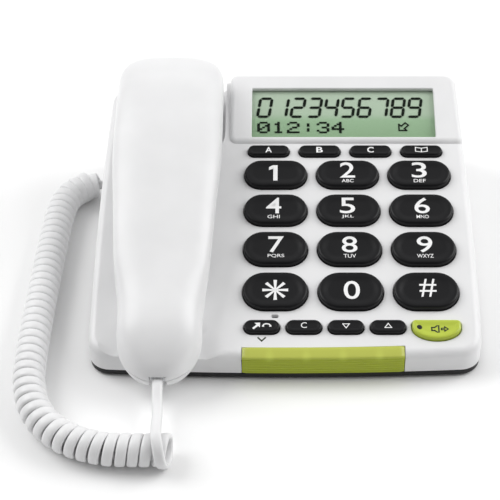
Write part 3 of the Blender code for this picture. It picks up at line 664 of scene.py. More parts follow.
def hollow():
    """The space inside the casing, without the walls round its pockets."""
    levels = ((-WALL, WALL + 3.6), (-WALL - 3.6, WALL))
    cavity = loft("cavity", under_surface(base_outline(), -10.0, deck_z, levels))
    levels = ((-WALL, WALL + 1.0), (-WALL - 1.0, WALL))
    inner = loft("inner_housing", under_surface(housing_outline(), 25.0, housing_z, levels))
    steps = [("UNION", inner)]
    for name, outline, wall in pockets():
        rings = at_heights(outline, [(growth + WALL, height - WALL) for growth, height in wall])
        steps.append(cut(f"keep_{name}", rings, DECK))
    steps.append(("DIFFERENCE", scoop(WALL)))
    return shaped(cavity, steps)


def pockets():
    """(name, outline, wall) of the hollows that the handset's cups lie in, a wall being (growth, height)."""
    ear_half = HOUSING_LEFT - WALL - HANDSET_X
    ear_end = deck_s(REAR_Y) + 40
    ear = rounded_box(HANDSET_X - ear_half, HANDSET_X + ear_half, EAR_POCKET_S, ear_end, 16, 1)
    ear_floor = EAR_CUP_H - CUP_CLEARANCE
    ear_wall = ((-1.2, ear_floor), (-0.35, ear_floor + 0.35), (0, ear_floor + 1.2), (0, POCKET_TOP))
    mouth_half = MOUTH_RADIUS - 0.6
    mouth = rounded_box(HANDSET_X - mouth_half, HANDSET_X + mouth_half, -40.0, MOUTH_POCKET_END_S, 10)
    mouth_wall = (
        (-4.6, MOUTH_CUP_H - CUP_CLEARANCE),
        (-3.2, -4.2),
        (-1.4, -2.0),
        (-0.4, 0.0),
        (0.0, 1.2),
        (0.6, POCKET_TOP),
    )
    return (("ear_pocket", ear, ear_wall), ("mouth_pocket", mouth, mouth_wall))


def scoop(growth):
    """A shallow dish round the mouth cup, open at the front."""
    rings = []
    for radius, height in ((24.0, -2.6), (37.5, 1.0)):
        ring = circle(HANDSET_X, -8.2, radius + 2 * growth, 96)
        rings.append([(x, s, height - growth) for x, s in ring])
    if growth:
        rings.append([(x, s, 8.0) for x, s, _ in rings[-1]])
    return loft("scoop", rings, place=DECK)


def key_places():
    """{node: (middle x, middle s, width, depth, top)} of every key's cap, in the deck frame."""
    places = {}
    for name, node in frame["nodes"].items():
        if not name.startswith("key_"):
            continue
        cap = [FROM_DECK @ (vertex.co / MM) for vertex in node.data.vertices]
        cap = np.array([tuple(point) for point in cap if point.z > -2.0])
        low, high = cap.min(axis=0), cap.max(axis=0)
        places[name] = (*((low + high) / 2)[:2], *(high - low)[:2], high[2])
    return places


def stadium(width, depth, steps=16):
    """A key's outline: two half circles joined by straight lines, about its own middle."""
    radius = depth / 2
    reach = width / 2 - radius
    return arc(reach, 0, radius, -90, 90, steps) + arc(-reach, 0, radius, 90, 270, steps)


def speaker_key_outline(width, depth):
    """Straight at the rear, with a wide half ellipse at the front."""
    corner = 2.0
    shoulder = 1.8
    front = []
    for i in range(1, 40):
        angle = math.pi + math.pi * i / 40
        front.append((width / 2 * math.cos(angle), shoulder + (depth / 2 + shoulder) * math.sin(angle)))
    right = arc(width / 2 - corner, depth / 2 - corner, corner, 0, 90, 6)
    left = arc(corner - width / 2, depth / 2 - corner, corner, 90, 180, 6)
    return front + right + left


def key_outline(name, width, depth):
    if name == "key_speaker":
        return speaker_key_outline(width, depth)
    return stadium(width, depth)


def key_holes():
    """One cutter for the holes of all the keys, each with an eased edge."""
    shapes = []
    for name, (x, s, width, depth, _) in KEYS.items():
        outline = [(x + a, s + b) for a, b in grown(key_outline(name, width, depth), KEY_CLEARANCE)]
        shapes.append(loft_mesh(flared(outline, -4.5, 0.35)))
    return add_mesh("key_holes", *merged(shapes), place=DECK)


def strip_profile(growth):
    """The light strip's section behind the front edge, as (distance back, height), over its bevel."""
    outer, inner = -0.6 - growth, 2.4 + growth
    back = 5.2 + growth
    low = SPLIT_Z + 0.6 - growth
    return (
        (outer, low),
        (outer, STRIP_FOLD_Z),
        (3.6, FOLD_Z + 0.5 + growth),
        (back, FOLD_Z + 0.9 + growth),
        (back, FOLD_Z - 2.0 - growth),
        (4.2, FOLD_Z - 2.6 - growth),
        (inner, FOLD_Z - 5.0),
        (inner, low),
    )


def strip_slot():
    rings = []
    low, high = STRIP_LEFT - GAP, STRIP_RIGHT + GAP
    steps = 16
    for i in range(steps + 1):
        x = low + (high - low) * i / steps
        rings.append([(x, front_y(x) + back, z) for back, z in strip_profile(GAP)])
    return loft("strip_slot", rings)


def window_outline(growth=0.0, corner=0.8):
    width, depth = WINDOW_SIZE
    return rounded_box(
        WINDOW_X - width / 2 - growth,
        WINDOW_X + width / 2 + growth,
        WINDOW_T - depth / 2 - growth,
        WINDOW_T + depth / 2 + growth,
        corner,
        steps=4,
    )


def socket_hole(name, node, axis, half_width, half_height):
    """A rectangular hole through the casing in front of a socket, along an axis."""
    low, high = node_box(node)
    middle = (low + high) / 2
    outline = rounded_box(-half_width, half_width, -half_height, half_height, 0.8, steps=3)
    turn = Matrix.Rotation(math.radians(90), 4, "X")
    if axis == "X":
        turn = Matrix.Rotation(math.radians(90), 4, "Z") @ turn
        near = Vector((low.x, middle.y, middle.z))
    else:
        near = Vector((middle.x, high.y, middle.z))
    return loft(name, at_heights(outline, ((0, -9.0), (0, 9.0))), place=Matrix.Translation(near) @ turn)


def screw_post(index):
    """The steps that make the post that a base screw goes up into."""
    x, y, _, top = node_round(f"base_screw_{index}")
    in_housing = x > HOUSING_LEFT and y > HOUSING_FRONT_Y
    ceiling = housing_z(y) if in_housing else deck_z(y)
    post = loft(f"post_{index}", rod(x, y, POST_RADIUS, LIP_TOP_Z + GAP, ceiling - 1.0, 20))
    return [("UNION", post), cut(f"post_hole_{index}", rod(x, y, SCREW_HOLE_RADIUS, 0.0, top + 1.0, 16))]


def deck_holes():
    """The steps that open the microphone slot and the hole for the hook."""
    slot = rounded_box(*MICROPHONE_SLOT, 0.9, steps=5)
    across, up_slope = HOOK_HOLE_HALF
    hook_s = deck_s(HOOK_Y)
    hook = rounded_box(HANDSET_X - across, HANDSET_X + across, hook_s - up_slope, hook_s + up_slope, 3)
    return [
        cut("microphone_slot", flared(slot, -6.0, 0.2), DECK),
        cut("hook_hole", at_heights(hook, ((0, -15), (0, 2))), DECK),
    ]


def add_casing():
    """White casing: deck, display housing and cradle in one moulding."""
    casing = base_solid()
    housing = under_surface(housing_outline(), 30.0, housing_z, round_over(HOUSING_EDGE_RADIUS))
    steps = [("UNION", loft("housing", housing)), ("DIFFERENCE", hollow())]
    for i in range(1, 5):
        steps += screw_post(i)
    steps += [cut(name, at_heights(outline, wall), DECK) for name, outline, wall in pockets()]
    steps.append(("DIFFERENCE", scoop(0)))
    steps.append(("DIFFERENCE", key_holes()))
    steps.append(cut("window_hole", flared(window_outline(), -6.0, 0.4), HOUSING))
    steps += deck_holes()
    steps.append(("DIFFERENCE", strip_slot()))
    steps.append(("DIFFERENCE", socket_hole("plug_hole", "handset_jack_base", "X", *PLUG_HOLE_HALF)))
    steps.append(("DIFFERENCE", socket_hole("line_hole", "line_jack", "Y", *LINE_HOLE_HALF)))
    shaped(casing, steps)
    even_normals(casing)
    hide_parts("base_top_shell")


def add_tray():
    """Dark lower casing, with a lip inside the white one and seats for its feet and screws."""
    levels = (
        (-1.0, CASING_BOTTOM_Z),
        (-0.5, CASING_BOTTOM_Z + 0.2),
        (-0.3, CASING_BOTTOM_Z + 0.7),
        (-0.3, SPLIT_Z - 0.2),
        (-0.5, SPLIT_Z),
        (-WALL - 0.5, SPLIT_Z),
        (-WALL - 0.5, LIP_TOP_Z),
        (-WALL - 2.0, LIP_TOP_Z),
        (-WALL - 2.0, CASING_BOTTOM_Z + CASING_FLOOR),
    )
    tray = loft("base_tray", at_heights(base_outline(), levels), DARK, "base")
    steps = []
    for i in range(1, 5):
        for kind, clearance, top in (("foot", 0.3, 1.8), ("base_screw", 0.4, 2.1)):
            x, y, radius, _ = node_round(f"{kind}_{i}")
            steps.append(cut(f"{kind}_seat_{i}", rod(x, y, radius + clearance, -2.0, top)))
        steps.append(cut(f"shank_hole_{i}", rod(x, y, SHANK_HOLE_RADIUS, -2.0, 12.0, 16)))
    shaped(tray, steps)
    even_normals(tray)
    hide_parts("base_bottom_shell")


def add_feet():
    """Rubber feet with a raised rim underneath."""
    for i in range(1, 5):
        x, y, radius, top = node_round(f"foot_{i}")
        levels = ((-3.2, 0.5), (-2.6, 0.1), (-1.4, 0.0), (-0.5, 0.05), (-0.1, 0.35), (0, 0.7), (0, top))
        foot = loft(f"rubber_foot_{i}", at_heights(circle(x, y, radius), levels), RUBBER, "base")
        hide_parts(f"foot_{i}")


def rounded_path(corners, radius, steps=4):
    """A closed outline with each of its corners rounded."""
    found = []
    count = len(corners)
    for i, corner in enumerate(corners):
        here = Vector(corner)
        before = Vector(corners[i - 1]) - here
        after = Vector(corners[(i + 1) % count]) - here
        reach = min(radius, before.length / 2.5, after.length / 2.5)
        start = here + before.normalized() * reach
        end = here + after.normalized() * reach
        for k in range(steps + 1):
            t = k / steps
            found.append(tuple((1 - t) ** 2 * start + 2 * t * (1 - t) * here + t**2 * end))
    return found


def strip_section():
    """The light strip's rounded section, with six fine ribs down its front face."""
    profile = strip_profile(0.0)
    outer, low = profile[0]
    top = profile[1][1]
    ribs = []
    for i in range(1, 7):
        z = low + (top - low) * i / 7
        ribs += [(outer, z - 0.35), (outer + 0.22, z), (outer, z + 0.35)]
    bevelled = rounded_path(profile, 0.9)
    start = next(i for i, (_, z) in enumerate(bevelled) if z > top - 0.9)
    return bevelled[:start] + [rib for rib in ribs if rib[1] < top - 1.0] + bevelled[start:]


def strip_inset(x):
    """How far the strip is drawn in at its round ends."""
    corner = 1.6
    from_end = min(x - STRIP_LEFT, STRIP_RIGHT - x)
    if from_end >= corner:
        return 0.0
    return corner - math.sqrt(max(0.0, corner**2 - (corner - from_end) ** 2))


def add_light_strip():
    """Lime strip over the front fold."""
    section = strip_section()
    middle_z = 12
    rings = []
    steps = 40
    for i in range(steps + 1):
        x = STRIP_LEFT + (STRIP_RIGHT - STRIP_LEFT) * i / steps
        inset = strip_inset(x)
        ring = []
        for back, z in section:
            ring.append((x, front_y(x) + back + 0.25 * inset, z - 0.5 * inset * (z > middle_z)))
        rings.append(ring)
    strip = loft("light_strip_lens", rings, STRIP, "base")
    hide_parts("light_strip")


# ---------------------------------------------------------------- keys


def cap_levels(depth, top):
    """(growth, height) from the flange up over the rim and down into the dish."""
    rim = min(1.3, 0.11 * depth)
    dish = min(0.75, 0.036 * depth)
    levels = [(KEY_FLANGE, -3.6), (KEY_FLANGE, -2.6), (0.0, -2.6), (0.0, top - rim)]
    for i in range(1, 6):
        angle = math.pi / 2 * i / 5
        levels.append((-rim * (1 - math.cos(angle)), top - rim * (1 - math.sin(angle))))
    width = min(4.5, 0.24 * depth)
    for i in range(1, 9):
        t = i / 8
        levels.append((-rim - width * t, top - dish * (3 * t**2 - 2 * t**3)))
    return levels


def dish_height(name, x, s):
    """Height of a key's top at a place about its own middle."""
    _, _, width, depth, top = KEYS[name]
    levels = cap_levels(depth, top)[4:]
    if name == "key_speaker":
        return levels[-1][1]
    radius = depth / 2
    reach = width / 2 - radius
    beyond = max(0.0, abs(x) - reach)
    inside = radius - math.hypot(beyond, s)
    return float(np.interp(inside, [-growth for growth, _ in levels], [height for _, height in levels]))


def add_key(name):
    x, s, width, depth, top = KEYS[name]
    lime = name == "key_speaker"
    outline = key_outline(name, width, depth)
    levels = cap_levels(depth, top)
    place = DECK @ Matrix.Translation((x, s, 0))
    material = LIME if lime else BLACK
    cap = loft(f"{name}_cap", at_heights(outline, levels), material, f"{name}_body", place, 40.0)
    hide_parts(name)


def text_shape(text, size, middle, weight=0.0):
    """Points and faces of a text, fitted to a (width, height) about its middle."""
    curve = bpy.data.curves.new("text", "FONT")
    curve.body = text
    curve.offset = weight
    curve.extrude = 0.01
    curve.resolution_u = 5
    obj = new_object("text", curve)
    mesh = evaluated_mesh(obj)
    points = np.array([tuple(vertex.co) for vertex in mesh.vertices])
    faces = [tuple(face.vertices) for face in mesh.polygons]
    bpy.data.objects.remove(obj, do_unlink=True)
    bpy.data.curves.remove(curve)
    bpy.data.meshes.remove(mesh)
    low, high = points.min(axis=0), points.max(axis=0)
    scale = [size[0] / (high[0] - low[0]), size[1] / (high[1] - low[1]), 1.0]
    offset = [middle[0], middle[1], 0.0]
    return [tuple(point) for point in (points - (low + high) / 2) * scale + offset], faces


def slab(outline):
    """A thin closed slab of print over an outline."""
    return loft_mesh([[(x, y, z) for x, y in outline] for z in (-PRINT_THICK / 2, PRINT_THICK / 2)])


def stroke(points, width):
    """A line of one width with square ends, as an outline."""
    left, right = [], []
    for i, (x, y) in enumerate(points):
        before = points[max(0, i - 1)]
        after = points[min(len(points) - 1, i + 1)]
        dx, dy = after[0] - before[0], after[1] - before[1]
        length = math.hypot(dx, dy)
        nx, ny = -dy / length * width / 2, dx / length * width / 2
        left.append((x + nx, y + ny))
        right.append((x - nx, y - ny))
    return right + left[::-1]


def line_shapes(points, width, closed=False):
    """Slabs along a run of straight lines."""
    ends = points + points[:1] if closed else points
    shapes = []
    for (ax, ay), (bx, by) in zip(ends, ends[1:]):
        length = math.hypot(bx - ax, by - ay)
        ux, uy = (bx - ax) / length * width / 2, (by - ay) / length * width / 2
        shapes.append(slab(stroke([(ax - ux, ay - uy), (bx + ux, by + uy)], width)))
    return shapes


def scaled(points, size, middle):
    """Points drawn in a unit square, brought to a size about a middle."""
    return [(middle[0] + x * size, middle[1] + y * size) for x, y in points]


def triangle_icon(direction):
    """Points up for 1 and down for -1."""
    corners = [(-1.7, -1.1 * direction), (1.7, -1.1 * direction), (0.0, 1.4 * direction)]
    return line_shapes(corners, 0.45, True)


def book_icon():
    """An open book, seen from above."""
    left = [(0.0, -1.6), (-3.2, -1.0), (-3.2, 1.7), (0.0, 1.1)]
    right = [(-x, y) for x, y in left]
    spine = [left[0], left[-1]]
    return [shape for line in (left, right, spine) for shape in line_shapes(line, 0.5)]


def handset_icon(middle, size):
    """A small telephone receiver."""
    bow = [(0.9 * math.cos(math.radians(a)), 0.55 * math.sin(math.radians(a))) for a in range(20, 161, 20)]
    shapes = [slab(stroke(scaled(bow, size, middle), 0.32 * size))]
    for side in (-1, 1):
        ear = [(side * 0.62, -0.3), (side * 1.12, -0.3), (side * 1.12, 0.16), (side * 0.62, 0.16)]
        shapes.append(slab(scaled(ear[::side], size, middle)))
    return shapes


def redial_icon():
    """An arrow to the upper right beside a receiver."""
    arrow = [(-4.4, -1.9), (-1.9, 0.6)]
    head = [(-3.7, 1.7), (-0.8, 1.8), (-0.9, -1.1)]
    return [slab(stroke(arrow, 1.2)), slab(head[::-1])] + handset_icon((2.5, 0.0), 2.1)


def speaker_icon():
    """A loudspeaker with an arrow leaving it."""
    horn = [(-2.6, -0.9), (-1.2, -0.9), (0.9, -2.6), (0.9, 2.6), (-1.2, 0.9), (-2.6, 0.9)]
    arrow = [(2.2, -0.45), (3.9, -0.45), (3.9, -1.3), (5.6, 0.0), (3.9, 1.3), (3.9, 0.45), (2.2, 0.45)]
    return line_shapes(horn, 0.75, True) + line_shapes(arrow, 0.6, True)


def star_shapes():
    """A star of eight tapered arms."""
    width, height = STAR_SIZE
    shapes = []
    for i in range(8):
        angle = math.pi / 4 * i
        along_arm = Vector((math.cos(angle), math.sin(angle)))
        across = Vector((-math.sin(angle), math.cos(angle)))
        arm = [-0.03 * across, 0.5 * along_arm - 0.07 * across]
        arm += [0.5 * along_arm + 0.07 * across, 0.03 * across]
        shapes.append(slab([(p.x * width, p.y * height) for p in arm]))
    return shapes


PRINT_THICK = 0.02
LETTERS = {"2": "ABC", "3": "DEF", "4": "GHI", "5": "JKL", "6": "MNO", "7": "PQRS", "8": "TUV", "9": "WXYZ"}
DIGIT_SIZE = (8.1, 10.1)
ZERO_SIZE = (8.3, 11.3)
STAR_SIZE = (13.2, 12.4)
DIGIT_WEIGHT = 0.006
LETTER_HEIGHT = 2.6
LETTER_WIDTH = 2.15
DIGIT_RAISE = 2.0
LETTER_DROP = 7.4


def one_shape():
    """The digit 1: an upright stem with a flag at its upper left."""
    half, stem, left = 5.3, 2.3, -2.3
    right = left + 4.6
    flag = [(left, half - 1.1), (left, half - 3.1), (right - stem, half - 2.2)]
    return slab([*flag, (right - stem, -half), (right, -half), (right, half), (right - stem - 0.2, half)])


def digit_shapes(digit):
    if digit == "1":
        return [one_shape()]
    if digit not in LETTERS:
        return [text_shape(digit, ZERO_SIZE, (0.0, 0.0), DIGIT_WEIGHT)]
    letters = LETTERS[digit]
    size = (LETTER_WIDTH * len(letters), LETTER_HEIGHT)
    return [
        text_shape(digit, DIGIT_SIZE, (0.0, DIGIT_RAISE), DIGIT_WEIGHT),
        text_shape(letters, size, (0.0, DIGIT_RAISE - LETTER_DROP), 0.004),
    ]


def legend_shapes(name):
    """The print on a key, about the key's own middle."""
    what = name[4:]
    if what.isdigit():
        return digit_shapes(what)
    if what.startswith("memory_"):
        return [text_shape("ABC"[int(what[-1]) - 1], (3.6, 3.9), (0.0, 0.0), 0.02)]
    return {
        "star": star_shapes,
        "hash": lambda: [text_shape("#", (8.7, 11.0), (0.0, 1.3), 0.0)],
        "phonebook": book_icon,
        "redial": redial_icon,
        "clear": lambda: [text_shape("C", (3.0, 3.3), (0.0, 0.3), 0.0)],
        "down": lambda: triangle_icon(-1),
        "up": lambda: triangle_icon(1),
        "speaker": speaker_icon,
    }[what]()


# How far the print on some keys lies to the right of the middle
LEGEND_X = {
    "key_1": -1.3, "key_4": -1.0, "key_5": -0.5, "key_6": 0.4,
    "key_7": 0.3, "key_9": 0.5, "key_0": 0.5, "key_hash": 0.8,
}


def add_legend(name):
    """The print, laid into the dish of its key."""
    x, s, _, _, _ = KEYS[name]
    points, faces = merged(legend_shapes(name))
    points = [(a + LEGEND_X.get(name, 0.0), b, c) for a, b, c in points]
    lifted = [(a, b, dish_height(name, a, b) + 0.03 + c) for a, b, c in points]
    place = DECK @ Matrix.Translation((x, s, 0))
    ink = DARK_PRINT if name == "key_speaker" else WHITE_PRINT
    legend = add_mesh(f"{name}_print", lifted, faces, ink, f"{name}_body", 20.0, place)


def add_speaker_lamp():
    """The small dark lens at the left of the speaker key."""
    x, s, width, _, top = KEYS["key_speaker"]
    levels = [(0.0, top - 0.6), (0.0, top - 0.3), (-0.15, top - 0.12), (-0.5, top - 0.02), (-0.9, top)]
    rings = at_heights(circle(0, 0, 1.45, 24), levels)
    place = DECK @ Matrix.Translation((x - 0.36 * width, s + 1.0, 0))
    lamp = loft("speaker_key_lamp", rings, DARK, "key_speaker_body", place)


def add_keys():
    for name in KEYS:
        add_key(name)
        add_legend(name)
    add_speaker_lamp()


def add_deck_print():
    """A small pointer printed on the deck, in front of the redial key."""
    x, s, _, depth, _ = KEYS["key_redial"]
    mark = line_shapes([(-1.8, 1.9), (0.0, 0.0), (1.8, 1.9)], 0.8)
    points, faces = merged(mark)
    place = DECK @ Matrix.Translation((x, s - depth / 2 - 4.2, 0.02))
    pointer = add_mesh("deck_pointer_print", points, faces, DARK_PRINT, "base", 20.0, place)


# ---------------------------------------------------------------- display

# The strokes of each digit, clockwise from the top, with "g" across the middle
SEGMENTS = {
    "0": "abcdef", "1": "bc", "2": "abged", "3": "abgcd", "4": "fgbc",
    "5": "afgcd", "6": "afgedc", "7": "abc", "8": "abcdefg", "9": "abcdfg",
}
# Each stroke from one end to the other, in a unit square
SEGMENT_PLACES = {
    "a": (0, 1, 1, 1), "b": (1, 0.5, 1, 1), "c": (1, 0, 1, 0.5), "d": (0, 0, 1, 0),
    "e": (0, 0, 0, 0.5), "f": (0, 0.5, 0, 1), "g": (0, 0.5, 1, 0.5),
}
# The small characters' dots, row by row from the top
DOT_ROWS = {
    "1": ("00100", "01100", "00100", "00100", "00100", "00100", "01110"),
    "2": ("01110", "10001", "00001", "00110", "01000", "10000", "11111"),
    "3": ("01110", "10001", "00001", "00110", "00001", "10001", "01110"),
    "0": ("01110", "10001", "10011", "10101", "11001", "10001", "01110"),
    ":": ("00000", "00100", "00100", "00000", "00100", "00100", "00000"),
    "4": ("00010", "00110", "01010", "10010", "11111", "00010", "00010"),
}
DISPLAY_DIGITS = "0123456789"
DISPLAY_TIMER = "012:34"
SEGMENT_SIZE = (6.4, 12.6)
SEGMENT_THICK = 1.6
SEGMENT_PITCH = 9.25
SEGMENTS_LOW = 15.8  # above the window's front edge
DOT_SIZE = (1.38, 1.1)
TIMER_PITCH = 8.2
TIMER_TOP = 12.2
MARK_MARGIN = 3.0  # from the window's left side
MARK_H = -2.68
MARK_SLANT = 0.14
PANEL_LOW = -7.2
PANEL_HIGH = -2.9


def segment_digit(digit, left, low):
    """One slanted seven-segment digit."""
    width, height = SEGMENT_SIZE
    shapes = []
    for segment in SEGMENTS[digit]:
        ax, ay, bx, by = SEGMENT_PLACES[segment]
        a = Vector((left + ax * width, low + ay * height))
        b = Vector((left + bx * width, low + by * height))
        step = (b - a).normalized() * SEGMENT_THICK * 0.62
        a, b = a + step, b - step
        tip = (b - a).normalized() * SEGMENT_THICK * 0.5
        across = Vector((-tip.y, tip.x))
        corners = [a - tip, a - across, b - across, b + tip, b + across, a + across]
        shapes.append(slab([(p.x + MARK_SLANT * (p.y - low), p.y) for p in corners]))
    return shapes


def dot_glyph(glyph, left, top):
    """One small character, its dots drawn a little larger than their spacing."""
    dot_width, dot_depth = DOT_SIZE
    shapes = []
    for row, bits in enumerate(DOT_ROWS[glyph]):
        for column, bit in enumerate(bits):
            if bit == "1":
                x = left + column * dot_width
                y = top - row * dot_depth
                right, low = x + 1.05 * dot_width, y - 1.05 * dot_depth
                shapes.append(slab([(x, low), (right, low), (right, y), (x, y)]))
    return shapes


def arrow_mark(x, y, size):
    """An outlined arrow that points down to the left."""
    points = [(-0.5, -0.2), (0.05, -0.2), (0.05, -0.5), (0.55, 0.0), (0.05, 0.5), (0.05, 0.2), (-0.5, 0.2)]
    turned = [(-0.7 * a + 0.7 * b, -0.7 * a - 0.7 * b) for a, b in points]
    return line_shapes(scaled(turned, size, (x, y)), 0.8, True)


def add_panel():
    """The liquid crystal panel in its frame."""
    width, depth = WINDOW_SIZE
    left = WINDOW_X - width / 2
    low_t = WINDOW_T - depth / 2
    outline = rounded_box(left - 2, left + width + 2, low_t - 1.2, low_t + depth + 2, 1.0, steps=4)
    levels = ((-0.3, PANEL_LOW), (0, PANEL_LOW + 0.3), (0, PANEL_HIGH - 0.2), (-0.2, PANEL_HIGH))
    panel = loft("lcd_panel", at_heights(outline, levels), SCREEN, "base", HOUSING)
    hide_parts("lcd_module")


def add_display_marks():
    """The panel's marks, which lie just over it."""
    width, depth = WINDOW_SIZE
    left = WINDOW_X - width / 2
    low_t = WINDOW_T - depth / 2
    start = left + MARK_MARGIN
    shapes = []
    for i, digit in enumerate(DISPLAY_DIGITS):
        shapes += segment_digit(digit, start + SEGMENT_PITCH * i, low_t + SEGMENTS_LOW)
    for i, glyph in enumerate(DISPLAY_TIMER):
        shapes += dot_glyph(glyph, start + TIMER_PITCH * i, low_t + TIMER_TOP)
    shapes += arrow_mark(left + 83.5, low_t + 8.6, 6.0)
    points, faces = merged(shapes)
    place = HOUSING @ Matrix.Translation((0, 0, MARK_H))
    marks = add_mesh("lcd_marks", points, faces, LCD_INK, "base", 20.0, place)


def add_window():
    """The clear window, with polished edges."""
    levels = ((-0.2, -2.5), (0, -2.3), (0, -1.1), (-0.2, -0.9))
    window = loft("display_glass", at_heights(window_outline(-GAP, 0.6), levels), GLASS, "base", HOUSING)
    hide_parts("display_window")


# ---------------------------------------------------------------- handset

UNDERSIDE_TAPER = 0.13
MOUTH_CENTRE_Y = MOUTH_TIP_Y + MOUTH_LENGTH * math.cos(TIP_ANGLE)
HANDLE_WIDTH = (
    (MOUTH_CENTRE_Y, MOUTH_RADIUS),
    (-69, 21.2),
    (-41, 24.3),
    (-8, 26.6),
    (21, 28.6),
    (47, 29.0),
    (EAR_START_Y, 28.8),
)
BACK_Z = (
    (-99, 17.3),
    (-98.4, 20.6),
    (-97, 23.9),
    (-94.5, 27.2),
    (-91, 30.8),
    (-86, 34.6),
    (-80, 37.9),
    (-72, 40.6),
    (-65, 42.4),
    (-45, 48.0),
    (-15, 57.0),
    (15, 65.8),
    (45, 73.2),
    (70, 77.2),
    (84, 76.8),
    (91, 74.4),
    (95, 70.2),
    (97, 65.0),
)
PARTING_Z = (
    (-99, 15.4),
    (-89, 16.8),
    (-75, 22.0),
    (-60, 28.0),
    (-38, 40.0),
    (0, 51.0),
    (40, 59.5),
    (70, 62.0),
    (97, 61.0),
)
POWER_UP = 2 / 2.8
POWER_DOWN = 2 / 3.4
PARTING_EASE = 0.3
HANDSET_SMOOTH_ANGLE = 38.0
PLUG_NOTCH_HALF = 4.3
HOLE_RADIUS = 0.8
EAR_HOLES = ((1, 0), (6, 3.6), (12, 7.2))  # (how many, on a circle of this radius)
MOUTH_HOLES = ((1, 0), (6, 3.0))


def cup_z(y, h):
    """The height of a plane parallel to the deck, h above it."""
    return deck_z(y) + h / math.cos(DECK_TILT)


def face_z(y):
    """The side towards the deck: mouth cup, handle and ear cup."""
    handle = cup_z(y, along(((-44, 8.6), (0, 10.0), (42, 11.0)), y))
    if y < -54:
        rise = along(((-99, 6.3), (-96.5, 3.0), (-92, 0.8), (-88, 0.0)), y)
        return cup_z(y, MOUTH_CUP_H) + rise
    if y < -42:
        t = smoothstep((y + 54) / 12)
        return cup_z(y, MOUTH_CUP_H) * (1 - t) + handle * t
    if y < 42:
        return handle
    if y < 53:
        t = smoothstep((y - 42) / 11)
        return handle * (1 - t) + cup_z(y, EAR_CUP_H) * t
    return cup_z(y, EAR_CUP_H) + along(((86, 0.0), (92, 2.0), (95, 6.0), (97, 12.0)), y)


def half_width(y, inset):
    """Half the handset's width, at its round mouth end, its handle or its squarer ear end."""
    if y < MOUTH_CENTRE_Y:
        reach = (MOUTH_CENTRE_Y - y) / (MOUTH_LENGTH - inset)
        return (MOUTH_RADIUS - inset) * math.sqrt(max(0.0, 1 - reach**2))
    if y > EAR_START_Y:
        reach = (y - EAR_START_Y) / (EAR_TIP_Y + 0.8 - inset - EAR_START_Y)
        return (HANDLE_WIDTH[-1][1] - inset) * max(0.0, 1 - reach**EAR_SQUARENESS) ** (1 / EAR_SQUARENESS)
    return along(HANDLE_WIDTH, y) - inset


def half_ring(y, inset, up, ease=0.0, steps=24):
    """Half of a cross-section, above (up) or below the parting line, from the right to the left.

    With ease, the edge at the parting line is drawn in, so that the two halves meet in a fine groove.
    """
    width = half_width(y, inset)
    parting = along(PARTING_Z, y)
    if up:
        tall = along(BACK_Z, y) - inset - parting
    else:
        tall = parting - face_z(y) - inset
    tall = max(tall, 0.6)
    sign = 1 if up else -1
    power = POWER_UP if up else POWER_DOWN
    ring = []
    for i in range(steps + 1):
        angle = math.pi * i / steps
        c, s = math.cos(angle), abs(math.sin(angle))
        if i in (0, steps):
            s = 0.0
        x = width * math.copysign(abs(c) ** power, c)
        rise = s**power
        if not up:
            x *= 1 - UNDERSIDE_TAPER * rise
        ring.append((HANDSET_X + x, y, parting + sign * (GAP / 2 + (tall - GAP / 2) * rise)))
    if ease:
        right, left = ring[0], ring[-1]
        drawn = min(ease, width / 3)
        lift = sign * min(ease, tall / 3)
        ring[0] = (right[0], y, right[2] + lift)
        ring[-1] = (left[0], y, left[2] + lift)
        ring.insert(0, (right[0] - drawn, y, right[2]))
        ring.append((left[0] + drawn, y, left[2]))
    return ring


def handset_stations():
    """Places along the handset, closer together at its round ends and where the cups begin."""
    found = []
    for i in range(26):
        angle = TIP_ANGLE * 0.55 + (math.pi / 2 - TIP_ANGLE * 0.55) * i / 26
        found.append(MOUTH_CENTRE_Y - MOUTH_LENGTH * math.cos(angle))
    found = [y for y in found if y > MOUTH_TIP_Y]
    found.insert(0, MOUTH_TIP_Y)
    found += spread_line(found[-1], EAR_START_Y, 80)
    for i in range(25):
        angle = math.pi / 2 * i / 24
        found.append(EAR_START_Y + (EAR_TIP_Y - EAR_START_Y) * math.sin(angle))
    return found


def half_form(name, up):
    rings = [half_ring(y, 0.0, up, PARTING_EASE) for y in handset_stations()]
    return loft(name, rings, WHITE, smooth_angle=HANDSET_SMOOTH_ANGLE)


def inner_form(name, up):
    """The hollow inside one half of the handset, open at its parting face."""
    stations = [y for y in handset_stations()[::3] if MOUTH_TIP_Y + 4 < y < EAR_TIP_Y - WALL - 0.8]
    rings = [half_ring(y, WALL, up, 0.0, 10) for y in stations]
    past = -3.0 if up else 3.0
    for ring in rings:
        for end in (0, -1):
            x, y, z = ring[end]
            ring.insert(0 if end == 0 else len(ring), (x, y, z + past))
    return loft(name, rings)


def grille_holes(name, middle_y, face_h, rings):
    """One cutter for a round pattern of sound holes in a cup."""
    shapes = []
    for count, radius in rings:
        for i in range(count):
            angle = 2 * math.pi * i / count
            x = HANDSET_X + radius * math.cos(angle)
            s = deck_s(middle_y) + radius * math.sin(angle)
            levels = ((0.35, face_h - 1.0), (0, face_h + 0.3), (0, face_h + 3.5))
            shapes.append(loft_mesh(at_heights(circle(x, s, HOLE_RADIUS, 10), levels)))
    return add_mesh(name, *merged(shapes), place=DECK)


def plug_notch():
    """The opening for the plug, through both halves at the mouth end."""
    x, _, _, top = node_round("handset_plug")
    left, right = x - PLUG_NOTCH_HALF, x + PLUG_NOTCH_HALF
    outline = [(left, -120.0), (right, -120.0), (right, -92.5), (left, -92.5)]
    return cut("plug_notch", at_heights(outline, ((0, -10.0), (0, top + 0.5))))


